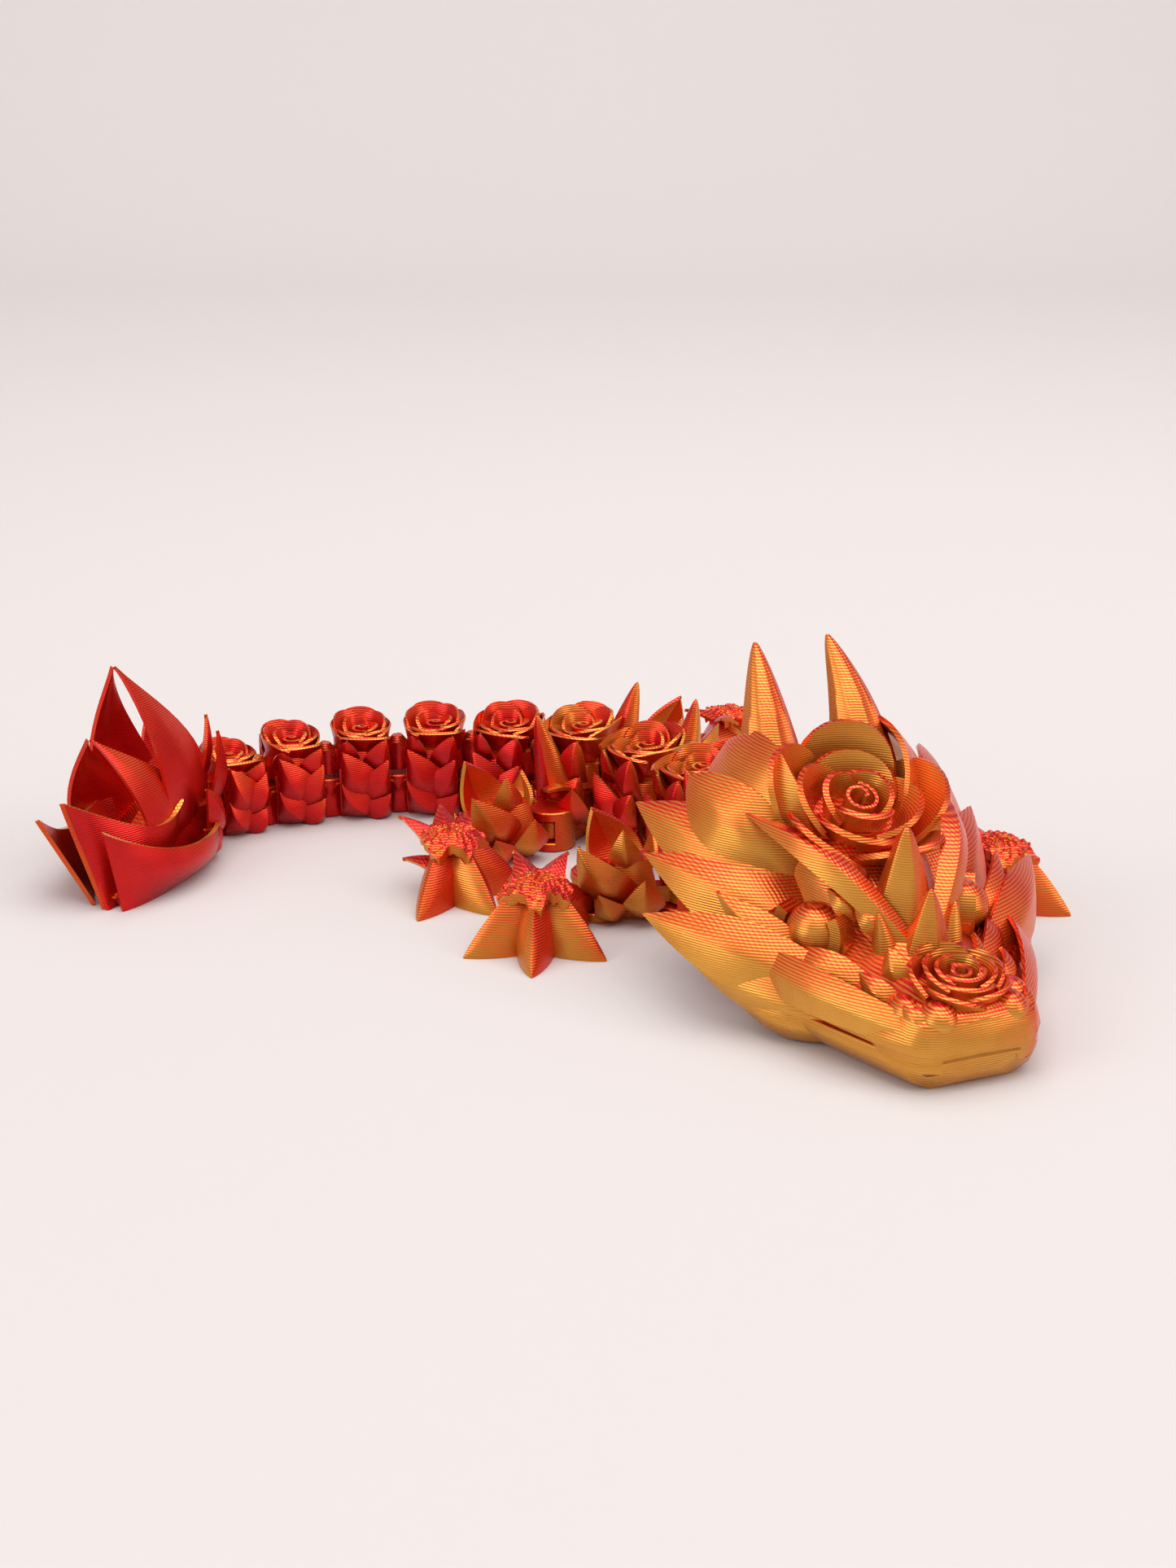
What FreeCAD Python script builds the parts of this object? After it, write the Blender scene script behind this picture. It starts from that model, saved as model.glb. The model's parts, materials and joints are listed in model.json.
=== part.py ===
import FreeCAD, Part
import math
import os
from itertools import combinations

# Jointed toy dragon, printed in one go as loose links that cannot come apart.
# Millimetres, +Z up. The toy lies on its flat underside at Z = 0, in a resting curve.
# Each link has its own frame: x towards the head, y to the dragon's left, origin at its centre.

Vec = FreeCAD.Vector

# ---- driving dimensions -------------------------------------------------------------
# The origin is below the middle of the whole toy as it lies.
CENTRE_X, CENTRE_Y = -6.63, 297.601
# The pivot between the head and the shoulders, before the toy is centred on the origin.
NECK_X, NECK_Y = 27.0, 289.0

# Each link from the shoulders back: pivot-to-pivot length, heading in degrees, rose rim height.
LINKS = [
    ("shoulders", 13.5, -65, 18.6),
    ("chest", 13.5, -57, 18.4),
    ("belly", 13.5, -47, 18.2),
    ("hips", 13.5, -32, 18.0),
    ("tail_1", 13.0, -16, 17.2),
    ("tail_2", 12.5, -1, 16.6),
    ("tail_3", 12.0, 11, 16.0),
    ("tail_4", 11.5, 22, 15.2),
    ("tail_5", 10.5, 38, 14.2),
]
HEAD_HEADING = -69
TIP_HEADING = 62

# The captive hinge: a ring on a tongue turns about a pin inside an arched socket.
PIN_R = 1.1
RING_IN, RING_OUT = 1.5, 2.7
CAVITY_R, HOUSING_R, SCOOP_R = 3.1, 3.9, 4.3
TONGUE_LOW, TONGUE_HIGH = 1.9, 4.5
CAVITY_LOW, CAVITY_HIGH = 1.5, 5.0
HOUSING_TOP, SCOOP_TOP = 6.6, 7.1
TONGUE_HALF = 1.2
MOUTH_HALF_ANGLE = 57
BEND_HALF_ANGLE = 16
# A limb's socket opens this much of the way from straight out to where the limb lies.
SOCKET_LEAN = 0.6

# Legs: where the pivot sits on its link, and the two lengths.
LEG_FORWARD, LEG_SIDE = 1.5, 11.5
THIGH_LENGTH, SHIN_LENGTH = 13.0, 14.0
CLAW_REACH, CLAW_SPREAD = 11.5, 62
FOOT_TOP = 11.0
# Each leg: its link, side (+1 left), thigh heading, shin heading, heading of the middle claw.
LEGS = [
    ("front_right", "shoulders", -1, 186, 232, 267),
    ("front_left", "shoulders", 1, -6, -25, -25),
    ("hind_right", "hips", -1, 212, 254, 310),
    ("hind_left", "hips", 1, 32, 58, 50),
]


# ---- geometry helpers ---------------------------------------------------------------
def polar(radius, degrees, z=0.0):
    """A point at this distance and angle about the Z axis."""
    return Vec(radius * math.cos(math.radians(degrees)),
               radius * math.sin(math.radians(degrees)), z)


def hull(points):
    """The closed convex solid around a few points, with flat many-sided faces."""
    pts = [Vec(*p) for p in points]
    inside = sum(pts, Vec()) * (1.0 / len(pts))
    faces = {}
    for a, b, c in combinations(pts, 3):
        normal = (b - a).cross(c - a)
        if normal.Length < 1e-6:
            continue
        normal.normalize()
        if normal.dot(inside - a) > 0:
            normal = normal * -1.0
        if all(normal.dot(p - a) < 1e-4 for p in pts):
            key = tuple(round(v, 3) + 0.0 for v in (*normal, normal.dot(a)))
            faces[key] = [p for p in pts if abs(normal.dot(p - a)) < 1e-4]
    wires = []
    for key, rim in faces.items():
        normal = Vec(*key[:3])
        middle = sum(rim, Vec()) * (1.0 / len(rim))
        u = (rim[0] - middle).normalize()
        v = normal.cross(u)
        rim.sort(key=lambda p: math.atan2((p - middle).dot(v), (p - middle).dot(u)))
        wires.append(Part.makePolygon(rim + rim[:1]))
    return Part.Solid(Part.Shell([Part.Face(w) for w in wires]))


def ring_points(sides, radius, z, turn=0.0, stretch=1.0):
    """Corners of a regular outline; stretch widens it sideways."""
    points = [polar(radius, turn + 360.0 * k / sides, z) for k in range(sides)]
    return [(p.x, p.y * stretch, p.z) for p in points]


def frustum(sides, low_r, low_z, high_r, high_z, turn=0.0, stretch=1.0):
    """A straight-sided tapering block between two levels."""
    return hull(ring_points(sides, low_r, low_z, turn, stretch)
                + ring_points(sides, high_r, high_z, turn, stretch))


def prism(outline, low, high):
    """An upright block with this outline."""
    wire = Part.makePolygon([Vec(x, y, low) for x, y in outline + outline[:1]])
    return Part.Face(wire).extrude(Vec(0, 0, high - low))


def cylinder(radius, low, high, x=0.0, y=0.0):
    return Part.makeCylinder(radius, high - low, Vec(x, y, low))


def spike(base, tip, along, width, depth):
    """A four-sided pointed leaf: a flat diamond at its base, drawn out to its tip."""
    base, tip = Vec(*base), Vec(*tip)
    axis = (tip - base).normalize()
    side = Vec(*along)
    side = (side - axis * side.dot(axis)).normalize()
    face = axis.cross(side)
    belly = base + (tip - base) * 0.35
    corners = [base - side * (width * 0.40), base + side * (width * 0.40),
               base - face * (depth * 0.5), base + face * (depth * 0.5),
               belly - side * (width * 0.5), belly + side * (width * 0.5),
               belly - face * (depth * 0.45), belly + face * (depth * 0.55), tip]
    return hull(corners)


def turned(shape, degrees, x=0.0, y=0.0):
    """A copy turned about Z and then moved."""
    copy = shape.copy()
    copy.rotate(Vec(), Vec(0, 0, 1), degrees)
    copy.translate(Vec(x, y, 0))
    return copy


def join(parts):
    """One solid from parts that overlap."""
    whole = parts[0].fuse(parts[1:]).removeSplitter()
    solids = whole.Solids
    if len(solids) != 1:
        raise ValueError("expected one solid, got %d" % len(solids))
    return solids[0]


# ---- hinge halves -------------------------------------------------------------------
def socket(opening):
    """Arched housing about the origin, open towards the given heading, and its pin."""
    mouth = [(0, 0)]
    for side in (-1, 0, 1):
        corner = polar(HOUSING_R * 2, opening + side * MOUTH_HALF_ANGLE)
        mouth.append((corner.x, corner.y))
    cavity = cylinder(CAVITY_R, CAVITY_LOW, CAVITY_HIGH).fuse(prism(mouth, CAVITY_LOW, CAVITY_HIGH))
    housing = cylinder(HOUSING_R, 0, HOUSING_TOP)
    return housing, cavity, cylinder(PIN_R, CAVITY_LOW - 0.2, CAVITY_HIGH + 0.2)


def tongue(length, heading):
    """A flat bar ending in a ring about the origin; the bar runs towards the heading."""
    bar = prism([(0, -TONGUE_HALF), (length, -TONGUE_HALF), (length, TONGUE_HALF), (0, TONGUE_HALF)],
                TONGUE_LOW, TONGUE_HIGH)
    ring = cylinder(RING_OUT, TONGUE_LOW, TONGUE_HIGH)
    hole = cylinder(RING_IN, TONGUE_LOW - 1, TONGUE_HIGH + 1)
    return turned(bar.fuse(ring).cut(hole), heading)


def with_sockets(solid, sockets):
    """Adds sockets: each is its x, y and the heading it opens towards."""
    parts, cuts, pins = [solid], [], []
    for x, y, opening in sockets:
        housing, cavity, pin = socket(opening)
        parts.append(turned(housing, 0, x, y))
        cuts.append(turned(cavity, 0, x, y))
        pins.append(turned(pin, 0, x, y))
    whole = join(parts)
    for cavity in cuts:
        whole = whole.cut(cavity)
    return join([whole] + pins)


def with_tongue(solid, x, y, heading, length):
    """Clears room for the neighbour's housing about x, y, then adds the tongue."""
    cleared = solid.cut(cylinder(SCOOP_R, -1, SCOOP_TOP, x, y))
    return join([cleared, turned(tongue(length, heading), 0, x, y)])


# ---- roses and leaves ---------------------------------------------------------------
def petal(radius, low, high, width, lean, turn):
    """One upright petal: a thin bowed plate that leans outwards to a low point."""
    thick = 0.8
    half = width * 0.5
    foot = radius - lean
    plate = []
    for inset in (0.0, -thick):
        plate += [(foot + inset, -half * 0.6, low), (foot + inset, half * 0.6, low),
                  (radius * 0.82 + inset, -half, high - 0.8), (radius * 0.82 + inset, half, high - 0.8),
                  (radius + inset, 0.0, high)]
    return turned(hull(plate), turn)


def rose(radius, base, rim, turn):
    """A cup of outer petals around a smaller cup and a closed heart."""
    parts = [frustum(10, radius * 0.52, base, radius * 0.80, rim - 1.6, turn)]
    for k in range(5):
        parts.append(petal(radius, base + 0.6, rim, radius * 1.1, radius * 0.42, turn + 72 * k))
    parts.append(frustum(7, radius * 0.50, rim - 2.4, radius * 0.46, rim - 0.7, turn + 20))
    parts.append(frustum(5, radius * 0.24, rim - 1.2, radius * 0.18, rim - 0.1, turn))
    return parts


def link_core(length, half_width, top):
    """The faceted block of one link, flat underneath, narrow at both ends."""
    end, shoulder = length / 2 - 0.5, length / 2 - 2.3
    outline = [(end, -1.6), (shoulder, -half_width), (-shoulder, -half_width),
               (-end, -1.6), (-end, 1.6), (-shoulder, half_width), (shoulder, half_width), (end, 1.6)]
    low = [(x * 0.97, y * 0.80, 0) for x, y in outline]
    mid = [(x, y, 2.2) for x, y in outline]
    waist = [(x * 0.8, y * 0.72, top) for x, y in outline]
    return hull(low + mid + waist)


def link_leaves(half_width, rim, turn):
    """Two tiers of pointed leaves down each flank."""
    parts = []
    for side in (-1, 1):
        for forward, reach, root, tip in ((1.9, 2.3, 5.0, 9.0), (-1.7, 2.6, 5.6, 8.2)):
            parts.append(spike((forward * 0.8, side * half_width * 0.55, root - 2.2),
                               (forward * 1.2, side * (half_width + reach * 0.55), tip),
                               (1, 0, 0), 3.6, 2.2))
        for forward, reach, tip in ((2.0, 1.7, 4.4), (-2.0, 1.9, 3.6)):
            parts.append(spike((forward * 0.6, side * half_width * 0.5, 1.4),
                               (forward, side * (half_width + reach), tip),
                               (1, 0, 0), 4.0, 2.2))
        parts.append(spike((0.3 * turn, side * half_width * 0.45, 5.0),
                           (0.3 * turn, side * (half_width + 0.9), rim - 2.4),
                           (1, 0, 0), 3.8, 1.9))
    return parts


def bend_limit(length, reach):
    """The room a link may fill, so that its neighbours clear it at full bend."""
    end = length / 2 - 0.25
    far = end - reach * math.tan(math.radians(BEND_HALF_ANGLE))
    outline = [(end, 0), (far, reach), (-far, reach), (-end, 0), (-far, -reach), (far, -reach)]
    return prism(outline, -1, 60)


def link(length, rim, leg_openings, index):
    """One spine link: block, leaves and rose, with a socket behind and a tongue in front."""
    half_width = 0.40 * length
    turn = 18 + 36 * (index % 2)
    parts = [link_core(length, half_width, rim - 5.2)]
    parts += link_leaves(half_width, rim, turn / 18 - 2)
    parts += rose(0.455 * length, rim - 7.0, rim, turn)
    sockets = [(-length / 2, 0, 180)]
    for side, opening in leg_openings:
        parts.append(leg_arm(side, half_width))
        parts.append(spike((-0.5, side * 6.3, 5.0), (-1.2, side * 9.6, 20.0), (1, 0, 0), 5.2, 3.4))
        sockets.append((LEG_FORWARD, side * LEG_SIDE, opening))
    body = join(parts).common(bend_limit(length, 16))
    body = with_sockets(body, sockets)
    return with_tongue(body, length / 2, 0, 180, 5.2)


def leg_arm(side, half_width):
    """The bracket from a link's flank out to a leg's socket."""
    inner, outer = side * half_width * 0.4, side * (LEG_SIDE - 0.6)
    foot = [(LEG_FORWARD - 3.2, inner, 0), (LEG_FORWARD + 2.6, inner, 0),
            (LEG_FORWARD - 3.0, outer, 0), (LEG_FORWARD + 3.0, outer, 0)]
    top = [(x, y, 6.4) for x, y, _ in foot]
    crown = [(LEG_FORWARD - 2.4, inner, 10.5), (LEG_FORWARD + 1.6, inner, 10.5)]
    return hull(foot + top + crown)


# ---- legs ---------------------------------------------------------------------------
def thigh(side, elbow_opening):
    """Upper leg from its pivot at the origin to the elbow at x = THIGH_LENGTH."""
    block = hull([(4.0, -2.6, 0), (4.0, 2.6, 0), (11.0, -3.6, 0), (11.0, 3.6, 0),
                  (3.6, -3.2, 2.2), (3.6, 3.2, 2.2), (12.0, -3.9, 2.2), (12.0, 3.9, 2.2),
                  (5.0, -2.6, 8.6), (5.0, 2.6, 8.6), (11.6, -2.6, 8.8), (11.6, 2.6, 8.8)])
    leaves = [spike((7.4, 0.2 * side, 6.0), (13.2, 3.4 * side, 15.6), (1, -side, 0), 6.6, 3.0),
              spike((8.8, -0.8 * side, 5.0), (16.6, -3.6 * side, 12.2), (1, side, 0), 5.6, 2.6),
              spike((6.0, 2.0 * side, 2.6), (8.2, 6.4 * side, 6.4), (1, 0, 0), 4.8, 2.6),
              spike((6.0, -1.8 * side, 2.4), (7.0, -6.0 * side, 5.2), (1, 0, 0), 4.8, 2.6)]
    parts = [block] + leaves
    body = join(parts)
    body = with_sockets(body, [(THIGH_LENGTH, 0, elbow_opening)])
    body = body.cut(cylinder(SCOOP_R, -1, 40, 0, 0))
    return with_tongue(body, 0, 0, 0, 5.4)


def foot(claw_turn):
    """Forearm and star of claws; the elbow pivot is at the origin, the hub on x."""
    hub = SHIN_LENGTH
    arm = hull([(4.4, -2.0, 0.4), (4.4, 2.0, 0.4), (4.6, -1.8, 5.6), (4.6, 1.8, 5.6),
                (hub, -3.0, 0), (hub, 3.0, 0), (hub - 1, -2.4, FOOT_TOP - 1.4), (hub - 1, 2.4, FOOT_TOP - 1.4)])
    ankle = turned(frustum(6, 3.9, 0, 3.0, FOOT_TOP), claw_turn, hub)
    parts = [arm, ankle]
    for step in (-1, 0, 1):
        claw = hull([(0, -2.3, 0), (0, 2.3, 0), (3.6, -2.5, 0), (3.6, 2.5, 0), (0.6, -1.4, FOOT_TOP - 0.6),
                     (0.6, 1.4, FOOT_TOP - 0.6), (3.2, 0, FOOT_TOP - 2.4), (7.0, 0, 5.4),
                     (CLAW_REACH - 0.6, 0, 1.5), (CLAW_REACH, -0.3, 0), (CLAW_REACH, 0.3, 0)])
        parts.append(turned(claw, claw_turn + step * CLAW_SPREAD, hub))
    for step in (-1, 1):
        dew = spike((0, 0, 5.6), tuple(polar(9.0, 180 + step * 26, 11.6)), (0, 0, 1), 5.0, 3.2)
        parts.append(turned(dew, claw_turn, hub))
    body = join(parts).cut(cylinder(SCOOP_R, -1, 40))
    return with_tongue(body, 0, 0, 0, 5.4)


# ---- head ---------------------------------------------------------------------------
def skull_blocks():
    """Jaw, muzzle, brow and cranium as overlapping faceted blocks."""
    def level(z, stations):
        return [(x, y * s, z) for x, y in stations for s in (-1, 1)]
    jaw = hull(level(0, [(24, 7), (34, 10), (46, 8.2), (57, 5.4)])
               + level(2.6, [(20, 12), (34, 18.5), (47, 13.4), (58, 8.2)])
               + level(6.0, [(17, 12), (35, 18.5), (47, 13.8), (59.3, 8.2)]))
    muzzle = hull(level(4.5, [(28, 14), (36, 17.5), (47, 13.3), (59.2, 8.2)])
                  + level(9.4, [(28, 12), (44, 11.0), (59, 8.0)])
                  + level(12.0, [(32, 8.4), (50, 6.6), (57.3, 4.6)]))
    cranium = hull(level(4.0, [(11, 5), (34, 12)]) + level(12, [(8, 7.5), (24, 12.5), (41, 7.6)])
                   + level(20, [(9, 6), (24, 10.0), (35, 5.2)]) + level(26, [(11, 4.5), (21, 7.0)]))
    neck = hull(level(0, [(3.2, 3.4), (17, 4.4)]) + level(14, [(4.6, 4.4), (17, 6.0)]))
    return [jaw, muzzle, cranium, neck]


def horns():
    """A pair of tall curved horns that lean back behind the forehead rose."""
    parts = []
    for side in (-1, 1):
        root, bend, tip = Vec(14.5, side * 7.2, 24), Vec(12.0, side * 7.5, 33), Vec(4.0, side * 5.6, 43)
        low = ring_points(6, 3.9, 0, 0, 1.0)
        high = ring_points(6, 2.7, 0, 0, 1.0)
        first = hull([(root.x + x, root.y + y, root.z - 3) for x, y, _ in low]
                     + [(bend.x + x, bend.y + y, bend.z) for x, y, _ in high])
        second = hull([(bend.x + x, bend.y + y, bend.z - 0.05) for x, y, _ in high] + [tuple(tip)])
        parts += [first, second]
    return parts


def head_trim():
    """Roses, brow spikes and the fans of cheek leaves, alike on both sides."""
    crown = frustum(10, 7.0, 19.0, 11.0, 27.0, 9)
    crown = crown.fuse([petal(12.0, 20.0, 28.0, 11.0, 4.5, 72 * k) for k in range(5)])
    crown.rotate(Vec(0, 0, 24), Vec(0, 1, 0), 27)
    crown.translate(Vec(26.0, 0, 1.5))
    nose = frustum(8, 4.6, 9.5, 5.8, 14.0, 10)
    nose.translate(Vec(53.3, 0, 0))
    parts = [crown, nose,
             spike((38.0, 0, 12), (38.5, 0, 27.0), (0, 1, 0), 8.4, 5.6),
             spike((45.0, 0, 10), (45.6, 0, 21.0), (0, 1, 0), 5.8, 4.6)]
    for side in (-1, 1):
        parts += [spike((21, 8 * side, 18), (8.5, 11.5 * side, 30.0), (1, 0, 0.6), 11.0, 3.6),
                  spike((24, 9 * side, 14), (5.0, 23.5 * side, 22.0), (0.5, 0, 1), 12.0, 3.6),
                  spike((33, 9 * side, 7), (22.5, 29.5 * side, 13.0), (0.9, 0, 0.5), 12.0, 3.6),
                  spike((35, 8 * side, 15), (21.0, 16.0 * side, 21.0), (0.5, 0, 1), 6.5, 3.4),
                  spike((37, 9 * side, 10), (27.5, 20.5 * side, 16.5), (0.5, 0, 1), 6.4, 4.0)]
    return parts


def head():
    """The head, one rigid print with its jaw on the table; the neck pivot is at the origin."""
    body = join(skull_blocks() + horns() + head_trim())
    flank, gap, crest, back = 13.0, 0.4, 21.5, -20.0
    rise = gap + flank * math.tan(math.radians(BEND_HALF_ANGLE))
    behind = prism([(gap, 0), (rise, flank), (back, flank), (back, -flank), (rise, -flank)], -1, crest)
    return with_sockets(body.cut(behind), [(0, 0, 180)])


# ---- tail tip -----------------------------------------------------------------------
def scoop_leaf(reach, height, half_width, root, thick):
    """A pointed leaf folded along its middle like a boat, made of two flat wings."""
    wings = []
    for side in (-1, 1):
        keel = [(root, 0, 0.8), (root - (reach - root) * -0.45, 0, height * 0.20 + 0.6)]
        rim = [(root + 1.0, side * half_width, height * 0.42),
               (root + (reach - root) * 0.55, side * half_width * 0.8, height * 0.72)]
        tip = (reach, 0, height)
        outer = keel + rim + [tip]
        inner = [(x + thick, y * 0.9, z + thick * 0.4) for x, y, z in keel + rim]
        wings.append(hull(outer + inner + [(reach, 0, height)]))
    return wings


def tail_tip():
    """The open bud at the tail's end; the pivot is at the origin and the bud lies along -x."""
    base = hull([(-4.6, -3.0, 0), (-4.6, 3.0, 0), (-24, -3.4, 0), (-24, 3.4, 0), (-31, -0.8, 0), (-31, 0.8, 0),
                 (-4.4, -4.2, 8), (-4.4, 4.2, 8), (-14, -8.5, 9), (-14, 8.5, 9), (-27, -4.0, 4), (-27, 4.0, 4)])
    parts = [base]
    for reach, height, half_width, root in ((19.5, 34.0, 9.0, 7.0), (26.0, 24.5, 8.6, 9.0),
                                            (32.0, 15.6, 7.6, 12.0)):
        for wing in scoop_leaf(reach, height, half_width, root, 1.3):
            parts.append(turned(wing, 180))
    for side in (-1, 1):
        parts.append(spike((-18, 3 * side, 4), (-33.0, 7.6 * side, 12.4), (0, 0.4, 1), 9.0, 3.4))
        parts.append(spike((-6, 2.6 * side, 6), (-2.4, 6.2 * side, 19.0), (1, 0, 0), 5.0, 2.6))
    body = join(parts)
    body = body.cut(cylinder(SCOOP_R, -1, 12, 0, 0))
    return with_tongue(body, 0, 0, 180, 5.6)


# ---- assembly -----------------------------------------------------------------------
def layout():
    """Places every piece: name to (x, y, heading); also returns the pivots in order."""
    places, pivots = {}, []
    x, y = NECK_X - CENTRE_X, NECK_Y - CENTRE_Y
    places["head"] = (x, y, HEAD_HEADING)
    pivots.append(("head", x, y))
    for name, length, heading, _ in LINKS:
        step = polar(length / 2, heading)
        places[name] = (x - step.x, y - step.y, heading)
        x, y = x - 2 * step.x, y - 2 * step.y
        pivots.append((name, x, y))
    places["tail_tip"] = (x, y, TIP_HEADING)
    for leg, owner, side, thigh_heading, shin_heading, _ in LEGS:
        ox, oy, turn = places[owner]
        arm = FreeCAD.Rotation(Vec(0, 0, 1), turn).multVec(Vec(LEG_FORWARD, side * LEG_SIDE, 0))
        elbow = polar(THIGH_LENGTH, thigh_heading)
        places[leg + "_thigh"] = (ox + arm.x, oy + arm.y, thigh_heading)
        places[leg + "_foot"] = (ox + arm.x + elbow.x, oy + arm.y + elbow.y, shin_heading)
    return places, pivots


def pieces():
    """Every loose piece of the toy in its own frame."""
    made = {"head": head(), "tail_tip": tail_tip()}
    for index, (name, length, heading, rim) in enumerate(LINKS):
        openings = [(side, side * 90 + SOCKET_LEAN * ((thigh_heading - heading - side * 90 + 180) % 360 - 180))
                    for _, owner, side, thigh_heading, _, _ in LEGS if owner == name]
        made[name] = link(length, rim, openings, index)
    for leg, _, side, thigh_heading, shin_heading, claw_heading in LEGS:
        made[leg + "_thigh"] = thigh(side, SOCKET_LEAN * (shin_heading - thigh_heading))
        made[leg + "_foot"] = foot(claw_heading - shin_heading)
    return made


def main():
    os.makedirs("parts", exist_ok=True)
    places, pivots = layout()
    whole = FreeCAD.BoundBox()
    for name, solid in pieces().items():
        x, y, heading = places[name]
        placed = turned(solid, heading, x, y)
        placed.exportStep("parts/%s.step" % name)
        whole.add(placed.BoundBox)
        print(name, "valid", placed.isValid(), "solids", len(placed.Solids), round(placed.Volume, 1))
    print("box", whole)
    for name, x, y in pivots:
        print("pivot behind" if name != "head" else "pivot of", name, round(x, 3), round(y, 3))


if __name__ == "__main__":
    main()
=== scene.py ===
import json
import math
from functools import partial

import bmesh
import bpy
import numpy as np
from bpy.props import FloatProperty, PointerProperty, StringProperty
from mathutils import Matrix, Vector


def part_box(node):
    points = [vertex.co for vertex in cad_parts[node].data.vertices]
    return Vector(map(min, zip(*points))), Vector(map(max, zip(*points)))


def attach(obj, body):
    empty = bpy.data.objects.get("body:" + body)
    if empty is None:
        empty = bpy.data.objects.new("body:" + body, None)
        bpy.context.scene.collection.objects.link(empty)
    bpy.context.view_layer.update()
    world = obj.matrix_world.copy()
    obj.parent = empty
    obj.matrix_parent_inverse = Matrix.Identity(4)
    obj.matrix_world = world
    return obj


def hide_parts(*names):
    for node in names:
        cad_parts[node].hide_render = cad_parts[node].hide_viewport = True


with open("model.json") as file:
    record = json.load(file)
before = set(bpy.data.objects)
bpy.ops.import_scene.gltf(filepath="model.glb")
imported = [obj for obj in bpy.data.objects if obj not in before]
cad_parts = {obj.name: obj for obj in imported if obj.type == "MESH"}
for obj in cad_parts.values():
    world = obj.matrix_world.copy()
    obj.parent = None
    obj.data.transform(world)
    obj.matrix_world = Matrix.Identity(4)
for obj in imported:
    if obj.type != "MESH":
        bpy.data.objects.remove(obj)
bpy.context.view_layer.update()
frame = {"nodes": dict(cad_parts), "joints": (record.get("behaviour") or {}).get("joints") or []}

# A jointed dragon toy printed in two-colour silk filament, with a rose on each link.
# Shapes are written in millimetres in each piece's own frame: x towards the head,
# y to the dragon's left, z up from the table. They are placed by the frame's joints.

bl_info = {
    "name": "Jointed Rose Dragon",
    "version": (1, 0, 0),
    "blender": (4, 5, 0),
    "location": "View3D > Sidebar > Rose Dragon",
    "description": "Builds the printed skin of a jointed dragon toy around its packed frame",
    "category": "Object",
}

MM = 0.001
MATH = "ShaderNodeMath"
# Degrees that the open bud is turned from the line through its pivot and its sole.
BUD_TWIST = 3

# The captive hinge, as the frame has it.
PIN_R, RING_IN, RING_OUT = 1.1, 1.5, 2.7
CAVITY_R, HOUSING_R, HOUSING_TOP = 3.1, 3.9, 6.6
TONGUE_LOW, TONGUE_HIGH = 1.9, 4.5
CAVITY_LOW, CAVITY_HIGH = 1.5, 5.0
MOUTH_HALF_ANGLE = 57
SCOOP_R = 4.4
# The round room that a housing needs in its neighbour, up to just over its roof.
ROOM_R, ROOM_TOP = 4.45, 7.2

# A foot: how high its ankle's flat top is, and the degrees between its claws.
ANKLE_TOP, CLAW_SPREAD = 11.0, 62

# The camera stands in front of the toy, at this place in metres, tilted up from straight down.
CAMERA_PLACE, CAMERA_TILT = (0.00663, -0.29760, 0.125), 70.0
LENS_MM, SENSOR_MM, NEAR_CLIP = 48.6, 36.0, 0.01

# Soft lights: name, place, what it aims at, width and power.
SOFTBOXES = [
    ("overhead_softbox", (0.1, -0.05, 0.75), (0, 0, 0), 0.8, 5.0),
    ("left_softbox", (-0.7, -0.45, 0.45), (0, 0, 0.02), 0.5, 2.6),
    ("right_softbox", (0.7, -0.3, 0.4), (0, 0, 0.02), 0.4, 1.5),
]

# How each part of the toy shows the two colours: where the gold side faces as the toy lies,
# in degrees, how much more gold there is overall and how much more on thin rims (partly where the
# filament's other side shows, and where it adds gold partly a painted highlight on the edges), how
# strongly the way a wall faces counts along the table and upwards (the upward part is partly the
# filament's tint and, where positive, partly a painted highlight: upward faces turn lighter and more
# orange, as where light falls from above), and the tint of flat tops.
SILKS = {
    "head": dict(gold_heading=252, gold_share=0.03, rims=-0.09,
                 side_pull=0.42, up_tint_and_highlight=-0.24, top_pull=0.0),
    "torso": dict(gold_heading=-15, gold_share=-0.16, rims=0.08,
                  side_pull=0.34, up_tint_and_highlight=0.26, top_pull=0.0),
    "tail": dict(gold_heading=30, gold_share=-0.27, rims=0.12,
                 side_pull=0.16, up_tint_and_highlight=0.30, top_pull=0.0),
    "near_legs": dict(gold_heading=225, gold_share=-0.04, rims=0.10,
                      side_pull=0.38, up_tint_and_highlight=-0.14, top_pull=-0.38),
    "far_legs": dict(gold_heading=-20, gold_share=-0.08, rims=0.10,
                     side_pull=0.40, up_tint_and_highlight=0.0, top_pull=-0.36),
    "tail_tip": dict(gold_heading=10, gold_share=-0.40, rims=0.34,
                     side_pull=0.12, up_tint_and_highlight=0.20, top_pull=0.30),
}
# Shares of red and gold: the even mix, and how far layers, beads and slow wandering shift it.
EVEN_MIX, LAYER_SHIFT, BEAD_SHIFT, WANDER_SHIFT = 0.46, 0.30, 0.10, 0.30

# Spine links from the shoulders back: the joint in front and the joint behind.
SPINE = [
    ("shoulders", "neck", "upper_back"),
    ("chest", "upper_back", "mid_back"),
    ("belly", "mid_back", "lower_back"),
    ("hips", "lower_back", "tail_root"),
    ("tail_1", "tail_root", "tail_joint_1"),
    ("tail_2", "tail_joint_1", "tail_joint_2"),
    ("tail_3", "tail_joint_2", "tail_joint_3"),
    ("tail_4", "tail_joint_3", "tail_joint_4"),
    ("tail_5", "tail_joint_4", "tail_tip_joint"),
]
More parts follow.
